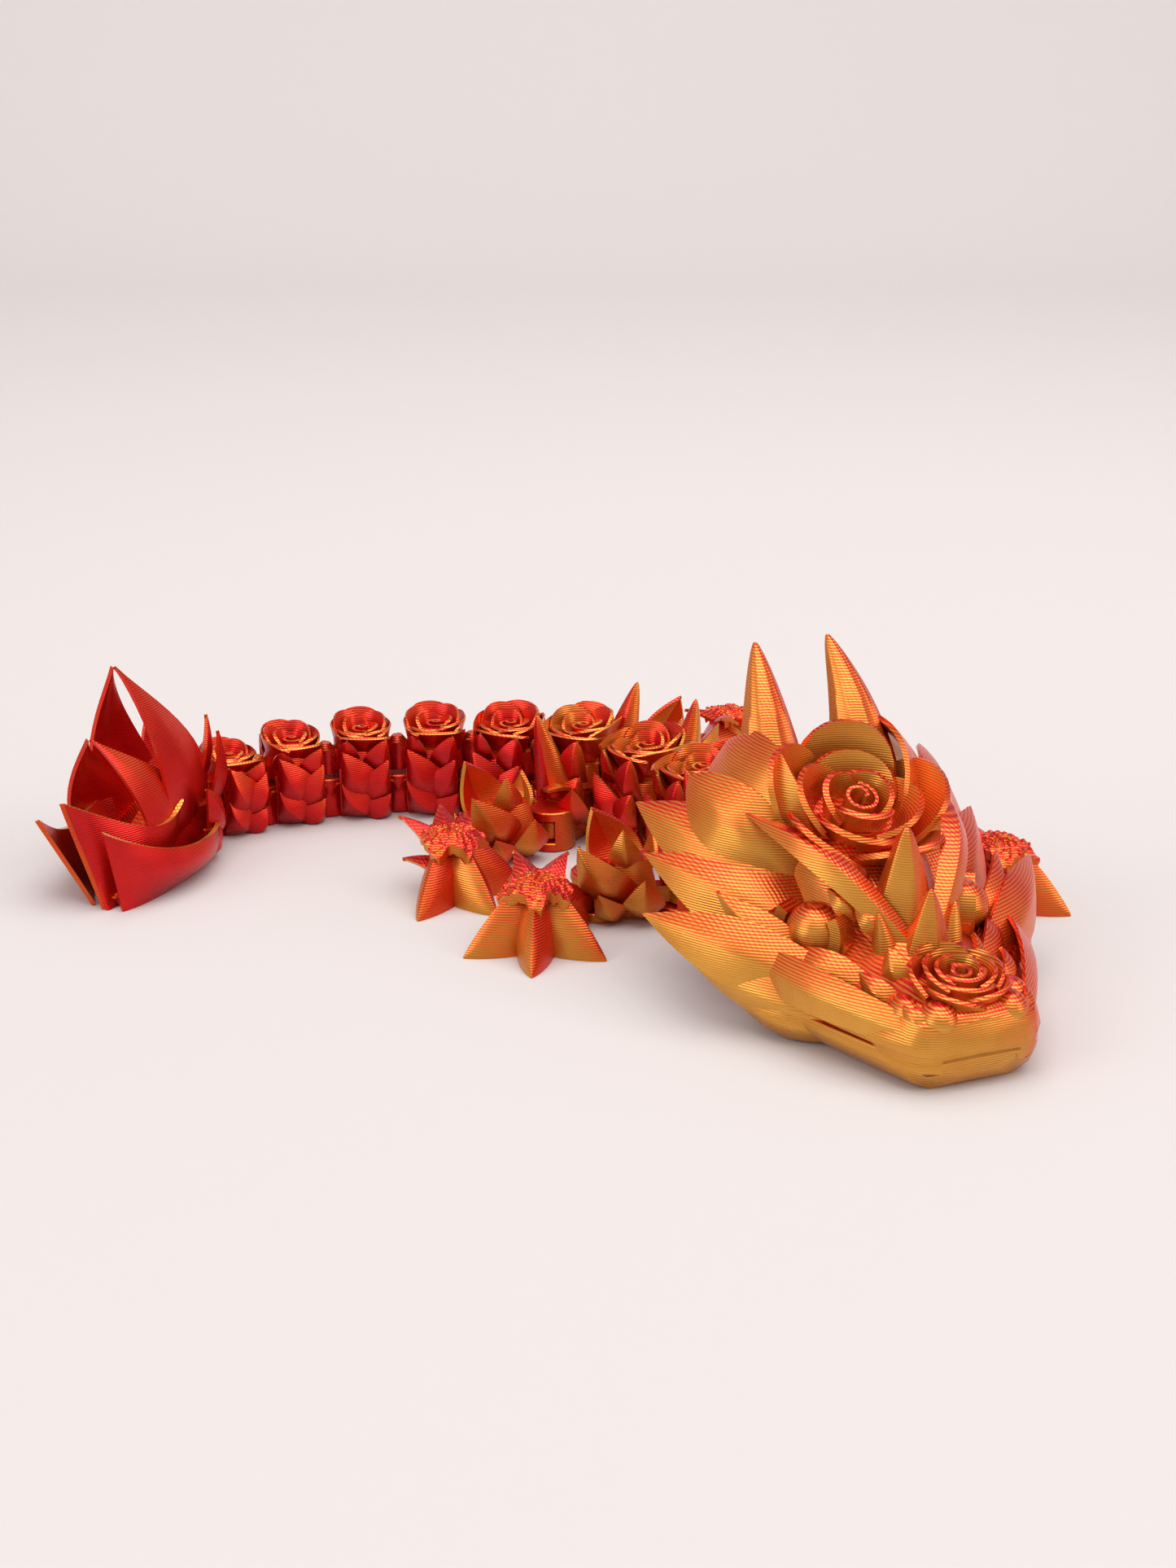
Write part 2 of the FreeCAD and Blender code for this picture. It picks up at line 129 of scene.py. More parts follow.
# Limbs: name, owner, side (+1 left), root joint, knee joint, heading of the middle claw.
LIMBS = [
    ("front_right", "shoulders", -1, "front_right_shoulder", "front_right_elbow", 267),
    ("front_left", "shoulders", 1, "front_left_shoulder", "front_left_elbow", -25),
    ("hind_right", "hips", -1, "hind_right_hip", "hind_right_knee", 310),
    ("hind_left", "hips", 1, "hind_left_hip", "hind_left_knee", 50),
]


# ---- settings -----------------------------------------------------------------------
class PrintSettings(bpy.types.PropertyGroup):
    """How the toy was printed."""
    petal_wall: FloatProperty(
        name="Petal wall", description="Thickness of a rose petal, in millimetres",
        default=0.62, min=0.3, max=1.5)
    leaf_wall: FloatProperty(
        name="Leaf wall", description="Thickness of a leaf at its root, in millimetres",
        default=1.0, min=0.4, max=2.0)
    layer_pitch: FloatProperty(
        name="Layer pitch", description="Height of one drawn layer line, in millimetres",
        default=0.32, min=0.1, max=1.0)
    bead_pitch: FloatProperty(
        name="Bead pitch", description="Width of one bead on flat tops, in millimetres",
        default=0.60, min=0.2, max=1.5)


class FilamentColours(bpy.types.PropertyGroup):
    """The colours of the two-colour silk filament, from its red side to its gold side."""
    shadow_red: StringProperty(
        name="Shadow red", description="sRGB hex of the deepest red", default="#B00812")
    red: StringProperty(
        name="Red", description="sRGB hex of the red side", default="#DE1A12")
    orange: StringProperty(
        name="Orange", description="sRGB hex where both sides mix", default="#E0561C")
    gold: StringProperty(
        name="Gold", description="sRGB hex of the gold side", default="#C9822A")
    bright_gold: StringProperty(
        name="Bright gold", description="sRGB hex of the palest gold", default="#E0A242")
    # The backdrop colour is paler than the floor's; the step between them is painted light on the rising
    # sweep.
    floor: StringProperty(
        name="Floor", description="sRGB hex of the sweep where it is the table", default="#C9C2C0")
    backdrop_painted_lighter: StringProperty(
        name="Backdrop", description="sRGB hex of the sweep where it rises behind", default="#F6EEEC")


# ---- where things are ---------------------------------------------------------------
JOINT_AT = {j["name"]: Vector((j["pos_m"][0], j["pos_m"][1])) / MM for j in frame["joints"]}


def heading_of(direction):
    return math.degrees(math.atan2(direction.y, direction.x))


def link_place(front, behind):
    """Centre, heading and length of a spine link, from its two pivots."""
    ahead, back = JOINT_AT[front], JOINT_AT[behind]
    return (ahead + back) / 2, heading_of(ahead - back), (ahead - back).length


def node_points(node):
    """The frame node's vertices, in millimetres."""
    vertices = frame["nodes"][node].data.vertices
    flat = np.zeros(len(vertices) * 3)
    vertices.foreach_get("co", flat)
    return flat.reshape(-1, 3) / MM


def axis_place(node, joint, sole):
    """Pivot and heading of a symmetric end piece; sole is how high its underside reaches."""
    points = node_points(node)
    under = points[points[:, 2] < sole]
    corners = np.unique(under[:, :2].round(2), axis=0)
    away = corners - np.array(JOINT_AT[joint])
    far = away[np.hypot(away[:, 0], away[:, 1]) > 12.0]
    middle = far.mean(axis=0)
    return JOINT_AT[joint], math.degrees(math.atan2(middle[1], middle[0]))


def rim_height(node):
    """The height of a link's rose rim above the table."""
    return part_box(node)[1].z / MM


# ---- mesh helpers: a part is (points, faces) ----------------------------------------
class RimFace(tuple):
    """A face on the thin edge of a leaf or petal, where the other side of the filament shows; the colour
    shift there is also partly a painted highlight.
    """


def grid_faces(rows, columns, start=0, closed=False):
    """Quads between neighbouring rows of points."""
    faces = []
    across = columns if closed else columns - 1
    for r in range(rows - 1):
        for c in range(across):
            a, b = start + r * columns + c, start + r * columns + (c + 1) % columns
            faces.append((a, b, b + columns, a + columns))
    return faces


def shell(front, wall, edge=0.55):
    """A closed thin shell behind a grid of front points; its rim is thinner than its middle."""
    rows, columns, _ = front.shape
    along_u, along_v = np.gradient(front, axis=1), np.gradient(front, axis=0)
    normal = np.cross(along_u, along_v)
    size = np.linalg.norm(normal, axis=2, keepdims=True)
    normal = normal / np.maximum(size, 1e-9)
    for c in range(columns):
        if size[-1, c, 0] < 1e-6:
            normal[-1, c] = normal[-2, c]
    u = np.linspace(-1, 1, columns)[None, :, None]
    v = np.linspace(0, 1, rows)[:, None, None]
    depth = wall * (edge + (1 - edge) * (1 - np.abs(u) ** 3) * (1 - v ** 3))
    back = front - normal * depth
    count = rows * columns
    faces = grid_faces(rows, columns) + [f[::-1] for f in grid_faces(rows, columns, count)]
    rim = [r * columns for r in range(rows)] + [(rows - 1) * columns + c for c in range(1, columns)]
    rim += [r * columns + columns - 1 for r in range(rows - 2, -1, -1)]
    rim += [c for c in range(columns - 2, 0, -1)]
    for a, b in zip(rim, rim[1:] + rim[:1]):
        faces.append(RimFace((b, a, a + count, b + count)))
    return np.concatenate([front.reshape(-1, 3), back.reshape(-1, 3)]), faces


def loft(rings):
    """A closed solid through rings of points, all with the same count."""
    rings = np.array(rings, dtype=float)
    rows, columns, _ = rings.shape
    faces = grid_faces(rows, columns, closed=True)
    faces.append(tuple(range(columns))[::-1])
    faces.append(tuple(range((rows - 1) * columns, rows * columns)))
    return rings.reshape(-1, 3), faces


def shifted(part, x=0.0, y=0.0, z=0.0):
    return part[0] + np.array([x, y, z]), part[1]


def spun(part, degrees, axis="Z", about=(0, 0, 0)):
    """A part turned about an axis through a point."""
    turn = np.array(Matrix.Rotation(math.radians(degrees), 3, axis))
    centre = np.array(about, dtype=float)
    return (part[0] - centre) @ turn.T + centre, part[1]


def mirrored(part):
    return part[0] * np.array([1, -1, 1]), part[1]


def both_sides(parts):
    return parts + [mirrored(p) for p in parts]


def circle(radius, z, count, start=0.0, sweep=360.0):
    """Points round a circle or an arc, at one height."""
    full = abs(sweep) >= 360.0
    angles = np.radians(start + sweep * np.arange(count) / (count if full else count - 1))
    return np.stack([radius * np.cos(angles), radius * np.sin(angles), np.full(count, z)], axis=1)


def disc(radius, low, high, count=28):
    """A flat round plate with a small chamfer."""
    return loft([circle(radius - 0.2, low, count), circle(radius, low + 0.25, count),
                 circle(radius, high - 0.25, count), circle(radius - 0.2, high, count)])


def tube(inner, outer, low, high, start=0.0, sweep=360.0, count=28):
    """An upright wall round a circle or an arc of one."""
    ring = [circle(outer, low, count, start, sweep), circle(outer, high, count, start, sweep),
            circle(inner, high, count, start, sweep), circle(inner, low, count, start, sweep)]
    points = np.stack(ring, axis=1)
    if abs(sweep) < 360.0:
        return loft(points)
    faces = grid_faces(count + 1, 4, closed=True)
    wrapped = [tuple(i % (count * 4) for i in f) for f in faces]
    return points.reshape(-1, 3), wrapped


def slab(outline, low, high):
    """An upright block with this outline."""
    return loft([[(x, y, low) for x, y in outline], [(x, y, high) for x, y in outline]])


def tapered(outline, levels):
    """A block whose outline is scaled at each level: levels are (z, scale along, scale across, turn)."""
    rings = []
    for z, along, across, turn in levels:
        c, s = math.cos(math.radians(turn)), math.sin(math.radians(turn))
        ring = [(x * along * c - y * across * s, x * along * s + y * across * c, z) for x, y in outline]
        rings.append(ring)
    return loft(rings)


# ---- leaves, spikes and roses -------------------------------------------------------
def leaf(root, tip, outward, width, bow=0.12, fold=0.35, full=0.38, blunt=1.0, wall=None):
    """A pointed leaf from root to tip. It is folded along its middle and bows outwards.

    full is how far up it is widest; a blunt value under 1 rounds its point."""
    wall = settings().leaf_wall if wall is None else wall
    root, tip = np.array(root, float), np.array(tip, float)
    axis = tip - root
    length = np.linalg.norm(axis)
    side = np.cross(axis, np.array(outward, float))
    side /= np.linalg.norm(side)
    out = np.cross(side, axis / length)
    v = (np.linspace(0, 1, 15) ** 0.85)[:, None, None]
    u = np.linspace(-1, 1, 11)[None, :, None]
    swell = np.where(v < full, 0.62 + 0.38 * np.sin(np.pi / 2 * v / full),
                     np.clip(1 - ((v - full) / (1 - full)) ** 1.6, 0, 1) ** blunt)
    half = 0.5 * width * swell
    ridge = fold * half * (1 - np.abs(u) ** 1.3) + bow * length * np.sin(np.pi * v)
    front = root + axis * v + side * u * half + out * ridge
    return shell(front, min(wall, width * 0.4))


def fan(rows):
    """Several leaves. A row is root, tip, outward, width, bow, fold, full, blunt and wall, as in leaf."""
    return [leaf(*row) for row in rows]


def spike(root, tip, width, flutes, groove=0.13, bend=(0, 0, 0), rows=14, swell=0.72):
    """A fluted, slightly curved cone with full flanks, as a horn or a thorn."""
    root, tip, bend = np.array(root, float), np.array(tip, float), np.array(bend, float)
    axis = (tip - root) / np.linalg.norm(tip - root)
    side = np.cross(axis, [0.0, 1.0, 0.0])
    side /= np.linalg.norm(side)
    other = np.cross(axis, side)
    count = flutes * 4
    angles = 2 * np.pi * np.arange(count) / count
    rings = []
    for row in range(rows):
        t = 1 - (1 - row / (rows - 1)) ** 1.5
        middle = root + (tip - root) * t + bend * math.sin(math.pi * t)
        radius = 0.5 * width * ((1 - t) ** swell * 0.97 + 0.03)
        wave = radius * (1 - groove * (0.5 + 0.5 * np.cos(flutes * angles)) * (1 - t * 0.4))
        ring = np.outer(wave * np.cos(angles), side), np.outer(wave * np.sin(angles), other)
        rings.append(middle + ring[0] + ring[1])
    return loft(rings)


def petal(radius, low, high, middle, half_span, foot, dip, corner=0.0, bulge=0.6, lap=0.055, wall=None):
    """One rose petal round the middle angle, from its foot up to its rim.

    foot is its radius at the bottom as a share of the radius at the rim. dip lowers its sides,
    and corner draws them out to points. One side laps over the next petal, the other under."""
    wall = settings().petal_wall if wall is None else wall
    v = np.linspace(0, 1, 9)[:, None]
    u = np.linspace(-1, 1, 15)[None, :]
    height = v * (1 - dip * np.abs(u) ** 2.4)
    reach = foot + (1 - foot) * height ** bulge
    bowed = 1 - corner * (1 - u ** 2) * v
    roll = 0.05 * np.clip(v - 0.78, 0, 1) / 0.22 * (1 - u ** 2)
    spread = radius * (reach * bowed + lap * u + roll)
    angle = np.radians(middle) + np.radians(half_span) * u * (0.75 + 0.25 * v)
    front = np.stack([spread * np.cos(angle), spread * np.sin(angle), low + (high - low) * height],
                     axis=2)
    return shell(front, wall, edge=0.85)


def heart(radius, low, high):
    """The rolled middle of a rose: a wall that winds outwards and sinks towards its end."""
    turns, wall = 1.35, settings().petal_wall * 0.85
    v = np.linspace(0, 1, 3)[:, None]
    u = np.linspace(0, 1, 30)[None, :]
    angle = 2 * np.pi * turns * u
    spread = radius * (0.34 + 0.66 * u) + 0 * v
    z = low + (high - low - 0.3 * radius * u) * v
    front = np.stack([spread * np.cos(angle), spread * np.sin(angle), z + 0 * angle], axis=2)
    return shell(front, wall, edge=0.9)


# Rings of a rose from the outside in: petals, share of the radius, rim below the outer rim
# (as a share of the radius), foot, dip and corner of each petal.
LINK_ROSE = ((4, 1.06, 0.00, 0.44, 0.10, 0.22), (4, 0.74, -0.04, 0.62, 0.34, 0.06),
             (3, 0.42, 0.04, 0.7, 0.2, 0.0))
CROWN_ROSE = ((5, 1.00, 0.00, 0.40, 0.46, 0.0), (4, 0.68, 0.10, 0.52, 0.40, 0.0),
              (3, 0.40, 0.08, 0.64, 0.34, 0.0))
NOSE_ROSE = ((5, 1.00, 0.00, 0.62, 0.26, 0.0), (4, 0.74, -0.06, 0.70, 0.2, 0.0),
             (3, 0.50, -0.08, 0.7, 0.1, 0.0))


def rose(radius, low, rim, turn, rings, depth, tilt=0.0, wall=None, flare=0.6):
    """A whole rose: rings of petals, a rolled heart and a solid cup.

    tilt lifts its +y side; a flare of 1 opens the outer ring like a funnel, less like a bowl."""
    parts = []
    bottom = rim - radius * depth
    for index, (count, share, drop, foot, dip, corner) in enumerate(rings):
        for k in range(count):
            middle = turn + 360.0 * k / count + 47 * index
            away = math.sin(math.radians(middle))
            top = rim - radius * drop + radius * tilt * away + 0.03 * radius * math.cos(2.4 * k + index)
            sag = dip + max(tilt * away, 0.0) * 2.2
            start = low if index == 0 else bottom
            bulge = flare if index == 0 else 0.6
            span = 180.0 / count * 1.32
            parts.append(petal(radius * share, start, top, middle, span, foot, sag, corner, bulge, 0.10,
                               wall))
    last = rings[-1][1] * radius * 0.62
    parts.append(spun(heart(last, bottom, rim - radius * rings[-1][2]), turn * 2))
    cup = rings[0][3]
    parts.append(loft([circle(radius * cup * 0.7, low, 20),
                       circle(radius * (cup + 0.04), (low + bottom) / 2, 20),
                       circle(radius * (cup + 0.10), bottom + 0.3, 20)]))
    return parts


# ---- hinge halves -------------------------------------------------------------------
def socket(x, y, opening):
    """Arched housing with its pin, open towards one heading."""
    start, sweep = opening + MOUTH_HALF_ANGLE, 360 - 2 * MOUTH_HALF_ANGLE
    parts = [tube(CAVITY_R, HOUSING_R, CAVITY_LOW - 0.3, CAVITY_HIGH + 0.3, start, sweep),
             disc(HOUSING_R, 0.0, CAVITY_LOW), disc(HOUSING_R, CAVITY_HIGH, HOUSING_TOP),
             disc(PIN_R, CAVITY_LOW - 0.5, CAVITY_HIGH + 0.5, 16)]
    return [shifted(p, x, y) for p in parts]


def tongue(x, heading, length):
    """A flat bar with a ring at its end, which hangs on the neighbour's pin."""
    ring = tube(RING_IN, RING_OUT, TONGUE_LOW, TONGUE_HIGH)
    half = 1.2
    outline = [(2.1, -half), (length, -half), (length, half), (2.1, half)]
    bar = slab(outline, TONGUE_LOW + 0.05, TONGUE_HIGH - 0.05)
    return [shifted(ring, x), shifted(spun(bar, heading), x)]


# ---- spine links --------------------------------------------------------------------
BEND = math.tan(math.radians(13))


def within_bend(part, length):
    """Keeps a part inside its link's wedge of room, so that neighbours clear it at full bend."""
    points = part[0].copy()
    limit = length / 2 - 0.25 - np.abs(points[:, 1]) * BEND
    share = points[:, 0] / limit
    points[:, 0] = limit * share / (1 + np.abs(share) ** 5) ** 0.2
    return points, part[1]


def clear_of(part, x, radius=ROOM_R, top=ROOM_TOP):
    """Pushes a part out of the round room that the neighbour's housing turns in."""
    points, pivot = part[0].copy(), np.array([x, 0.0])
    away = points[:, :2] - pivot
    distance = np.maximum(np.hypot(away[:, 0], away[:, 1]), 1e-6)
    inside = (distance < radius) & (points[:, 2] < top)
    points[inside, :2] = pivot + away[inside] * (radius / distance[inside])[:, None]
    return points, part[1]


def link_core(length, half):
    """The block in the middle of a link, under its rose."""
    back, front = -length / 2 + 2.6, length / 2 - SCOOP_R
    mid, reach = (back + front) / 2, (front - back) / 2
    outline = [(reach, -0.45 * half), (reach * 1.6, -half), (0, -half * 1.08), (-reach * 1.6, -half),
               (-reach, -0.45 * half), (-reach, 0.45 * half), (-reach * 1.6, half), (0, half * 1.08),
               (reach * 1.6, half), (reach, 0.45 * half)]
    levels = [(0.0, 0.9, 0.78, 0), (1.4, 1.0, 0.96, 0), (5.2, 1.0, 1.02, 0), (8.4, 0.98, 0.92, 0)]
    lower = tapered(outline, levels)
    calyx = loft([circle(length * share, z, 28) for share, z in
                  ((0.44, 7.25), (0.50, 7.9), (0.47, 9.6), (0.40, 11.4), (0.30, 12.0))])
    return [shifted(lower, mid), calyx]


def link_leaves(half, rim):
    """The tiers of cupped leaves down one flank (the dragon's left)."""
    top = rim - 1.7
    return fan([
        ((2.4, half * 0.45, 0.2), (-5.8, half + 1.9, 6.8), (-0.1, 1, -0.3), 6.6, 0.10, 0.6, 0.42),
        ((-0.4, half * 0.55, 0.0), (5.8, half + 1.6, 4.6), (0.2, 1, -0.3), 6.0, 0.14, 0.6, 0.40),
        ((1.6, half * 0.45, 3.0), (-4.6, half + 2.4, 12.3), (-0.2, 1, 0.1), 6.8, 0.16, 0.5, 0.55, 0.75),
        ((-0.8, half * 0.45, 2.6), (5.0, half + 2.1, 10.6), (0.3, 1, 0.1), 6.2, 0.18, 0.5, 0.55, 0.75),
        ((0.8, half * 0.40, 7.0), (3.9, half + 1.9, top - 0.4), (0.2, 1, 0), 5.6, 0.16, 0.5, 0.6, 0.7),
        ((-2.4, half * 0.40, 8.6), (-3.0, half + 1.6, top - 0.4), (-0.3, 1, 0), 4.6, 0.14, 0.35, 0.6,
         0.7),
    ])


def housing_leaves():
    """Small scales that hug a housing, from its foot to its roof."""
    parts = []
    for middle in (-104, -64, 64, 104):
        parts.append(petal(4.28, 0.2, 5.9, middle, 24, foot=0.93, dip=0.6, bulge=1.0, lap=0.0, wall=0.7))
    return parts


def pivot_bud(top):
    """The closed bud on a housing's roof, which fills the gap between two roses."""
    parts = [loft([circle(2.2, 7.0, 20), circle(2.35, 8.4, 20), circle(2.1, top - 1.6, 20),
                   circle(0.9, top, 20)])]
    for middle in (-150, -90, -30, 30, 90, 150):
        parts.append(petal(2.55, 7.1, top - 0.5 - 0.9 * (middle % 60 == 0), middle, 34, foot=0.95,
                           dip=0.6, wall=0.5))
    return parts


def leg_arm(forward, side_at, side, half):
    """The bracket from a link's flank to a leg's socket, with a thorn and leaves over it."""
    inner, outer = half * 0.4, side_at - 1.0
    arm = loft([
        [(-2.9, inner, 0), (2.4, inner, 0), (2.0, inner, 9.6), (-2.4, inner, 9.6)],
        [(-2.6, outer - 2, 0), (2.6, outer - 2, 0), (2.2, outer - 2, 7.6), (-2.2, outer - 2, 7.6)],
        [(-3.0, outer, 5.0), (3.0, outer, 5.0), (2.0, outer, HOUSING_TOP), (-2.0, outer, HOUSING_TOP)],
    ])
    if side > 0:
        thorn = spike((forward + 1.0, side_at - 6.0, 7.0), (forward + 3.8, side_at - 2.8, 22.4), 7.6,
                      flutes=5)
    else:
        thorn = spike((forward - 1.8, side_at - 5.4, 4.6), (forward - 3.9, side_at - 1.9, 20.4), 7.6,
                      flutes=5)
    leaves = fan([
        ((forward + 1.2, side_at - 4.9, 2.2), (forward + 4.4, side_at + 0.8, 10.4), (0.5, 1, 0), 5.6,
         0.12, 0.35, 0.5),
        ((forward - 1.6, side_at - 4.9, 2.0), (forward - 4.9, side_at + 0.6, 8.6), (-0.5, 1, 0), 5.6,
         0.12, 0.35, 0.5),
        ((forward - 0.2, side_at - 3.8, 5.0), (forward + 1.0, side_at + 2.4, 10.0), (0, 0.5, 1), 6.0,
         0.2),
    ])
    parts = [shifted(arm, forward), thorn] + leaves
    return parts if side > 0 else [mirrored(p) for p in parts]


def link_parts(node, length, index, legs):
    """All of one spine link in its own frame. legs holds (side, pivot forward, pivot aside, opening)."""
    half = 0.40 * length
    thorn_room = 1.4 if legs else 0.0
    rim = rim_height(node) - thorn_room
    parts = link_core(length, half) + both_sides(link_leaves(half, rim))
    sway = 14 if index % 2 else -6
    parts += rose(0.56 * length, rim - 7.4, rim - 1.3, -90 + sway, LINK_ROSE, depth=0.5, tilt=0.16,
                  flare=0.95)
    if node == "belly":
        parts.append(spike((2.0, 4.6, 8.0), (2.6, 8.4, 22.4), 7.4, flutes=5, bend=(0, 0.6, 0)))
    parts = [within_bend(p, length) for p in parts]
    parts = [clear_of(clear_of(p, length / 2), length / 2, radius=2.9, top=rim - 3.8) for p in parts]
    parts += [shifted(p, -length / 2) for p in pivot_bud(rim - 4.2)]
    parts += socket(-length / 2, 0, 180)
    parts += [shifted(p, -length / 2) for p in housing_leaves()]
    parts += tongue(length / 2, 180, SCOOP_R + 1.0)
    for side, forward, aside, opening in legs:
        parts += leg_arm(forward, aside, side, half)
        parts += socket(forward, side * aside, opening)
    return parts


# ---- legs ---------------------------------------------------------------------------
def knee_cap(x):
    """A domed roof over a leg's socket."""
    dome = tapered(circle(4.1, 0, 20)[:, :2],
                   [(5.9, 1.0, 1.0, 0), (6.7, 0.98, 0.98, 0), (7.6, 0.7, 0.74, 0), (8.2, 0.25, 0.3, 0)])
    return shifted(dome, x)


def thigh_parts(side, length, opening):
    """Upper leg from its pivot to the knee socket, with two big upright leaves."""
    outline = [(3.6, -2.8), (3.9, 0), (3.6, 2.8), (0, 3.8), (-3.4, 3.0), (-3.4, -3.0), (0, -3.8)]
    levels = [(0, 0.95, 0.75, 0), (1.8, 1.0, 1.0, 0), (5.5, 0.95, 0.95, 0), (9.0, 0.7, 0.66, 0)]
    core = shifted(tapered(outline, levels), 7.9)
    leaves = fan([
        ((7.0, 1.0, 3.6), (13.6, 3.9, 15.4), (0.3, 1, 0.1), 8.4, 0.14, 0.5, 0.45),
        ((8.2, -0.6, 2.6), (16.4, -3.6, 12.1), (0.5, -1, 0), 7.6, 0.16, 0.5, 0.45),
        ((6.8, 2.2, 0.8), (9.4, 6.5, 8.6), (0, 1, 0), 6.4, 0.16, 0.5, 0.45),
        ((6.8, -2.2, 0.8), (6.8, -6.3, 7.6), (0, -1, 0), 6.4, 0.16, 0.5, 0.45),
        ((10.0, 1.6, 0.6), (14.6, 5.6, 6.4), (0.4, 1, 0), 5.4, 0.16, 0.5),
        ((10.0, -1.6, 0.6), (13.6, -5.9, 5.4), (0.3, -1, 0), 5.4, 0.16, 0.5),
        ((6.4, 0.2, 6.2), (4.7, 1.2, 13.2), (-1, 0.2, 0.2), 5.6, 0.10, 0.5),
        ((8.4, 0.6, 6.4), (9.6, -2.4, 14.0), (0.2, -1, 0.2), 5.4, 0.14, 0.5),
    ])
    parts = [core] + leaves
    if side < 0:
        parts = [mirrored(p) for p in parts]
    parts = [clear_of(p, 0, top=40) for p in parts]
    parts += socket(length, 0, opening) + [knee_cap(length)]
    return parts + tongue(0, 0, 5.0)


def claw(reach, top):
    """A claw with full, rounded flanks and a sharp back, from the ankle to its tip on the table."""
    rings = []
    for row in range(12):
        t = (row / 11) ** 0.8
        x = reach * t
        half = 2.75 * (1 - t ** 2.4) ** 0.9 + 0.14
        back = top * (1 - t ** 1.75) + 0.4 * t
        left = [(x, half * wide, back * high) for wide, high in ((1.0, 0.34), (0.74, 0.66), (0.30, 0.90))]
        right = [(x, -y, z) for _, y, z in reversed(left)]
        rings.append([(x, -half, 0), (x, half, 0)] + left + [(x, 0, back)] + right)
    return loft(rings)


def ankle_crust(top, claw_turn, spread):
    """The rough last layers over the ankle, running out along the claws in wavy strings."""
    count = 96
    angles = np.linspace(0, 2 * np.pi, count, endpoint=False)
    lobes = np.zeros(count)
    for step in (-1, 0, 1):
        off = (angles - math.radians(claw_turn + step * spread) + np.pi) % (2 * np.pi) - np.pi
        lobes = np.maximum(lobes, np.exp(-(off / 0.36) ** 2))
    rings = []
    for share in np.concatenate([[1.0, 0.985], np.linspace(0.95, 0.03, 20)]):
        out = (4.3 + 1.5 * lobes + 0.30 * np.sin(9 * angles + 1) + 0.24 * np.sin(17 * angles)) * share
        strings = 0.22 * np.sin(5.2 * out + 2.0 * np.sin(5 * angles))
        strings = strings + 0.14 * np.sin(19 * angles + 2.6 * out)
        z = top - 0.5 - (0.040 + 0.034 * lobes) * out ** 2 + strings * min(1.0, share * 4)
        rings.append(np.stack([out * np.cos(angles), out * np.sin(angles), np.minimum(z, top)], axis=1))
    under = rings[0] * np.array([0.9, 0.9, 1.0]) - np.array([0, 0, 1.6])
    return loft([under] + rings)


def foot_parts(shin, claw_turn):
    """Forearm and star of claws. The knee pivot is at the origin and the ankle is on x."""
    spread, top = CLAW_SPREAD, ANKLE_TOP
    rings = [[(4.5, -1.9, 0.3), (4.5, 1.9, 0.3), (4.6, 1.7, 4.4), (4.7, 0, 6.0), (4.6, -1.7, 4.4)],
             [(8.6, -2.9, 0), (8.6, 2.9, 0), (8.4, 2.7, 5.6), (8.2, 0, 8.2), (8.4, -2.7, 5.6)],
             [(shin, -3.0, 0), (shin, 3.0, 0), (shin, 2.6, 7.0), (shin, 0, top - 1.2), (shin, -2.6, 7.0)]]
    ankle = tapered(circle(3.3, 0, 14)[:, :2],
                    [(0, 1.15, 1.15, 0), (5, 1.0, 1.0, 8), (top - 1.2, 0.9, 0.9, 14)])
    parts = [loft(rings), shifted(ankle, shin), shifted(ankle_crust(top, claw_turn, spread), shin)]
    for step in (-1, 0, 1):
        parts.append(shifted(spun(claw(11.4, top - 0.7), claw_turn + step * spread), shin))
    for step in (-1, 1):
        dew = leaf((1.0, 0, 3.2), (-8.6, 0, 11.4), (-0.2, 0, 1), 6.0, bow=0.12, fold=0.55, full=0.3)
        parts.append(shifted(spun(dew, claw_turn + step * 27), shin))
        under = leaf((0.4, 0, 1.0), (-7.4, 0, 5.4), (-0.2, 0, 1), 5.4, bow=0.18, fold=0.5)
        parts.append(shifted(spun(under, claw_turn + step * 42), shin))
    parts = [clear_of(p, 0, top=40) for p in parts]
    return parts + tongue(0, 0, 5.0)


# ---- head ---------------------------------------------------------------------------
def half_sections(stations):
    """A closed, symmetric loft along x; each station is x and its half profile from below upwards."""
    rings = []
    for x, profile in stations:
        left = [(x, y, z) for y, z in profile]
        right = [(x, -y, z) for y, z in reversed(profile) if y > 0]
        rings.append(left + right)
    return loft(rings)


def lower_jaw():
    """The lower jaw: a broad wedge, flat underneath, with a bevelled chin."""
    rows = [(15, 8.0, 5.0, 1.4), (22, 13.0, 8.5, 0.5), (29, 17.0, 10.4, 0.0), (35, 18.6, 10.8, 0.0),
            (41, 16.6, 9.4, 0.0), (47, 14.2, 8.4, 0.0), (53, 11.6, 7.4, 0.0), (57.6, 9.4, 5.8, 0.0),
            (58.9, 8.0, 4.0, 1.2), (59.8, 5.6, 2.6, 2.8)]
    stations = []
    for x, wide, sole, low in rows:
        bevel = [(0, low), (sole, low), (wide * 0.88, low + 1.3), (wide * 0.98, 3.0), (wide, 3.9),
                 (wide * 0.98, 4.8)]
        stations.append((x, bevel + [(0, 4.9)]))
    return half_sections(stations)


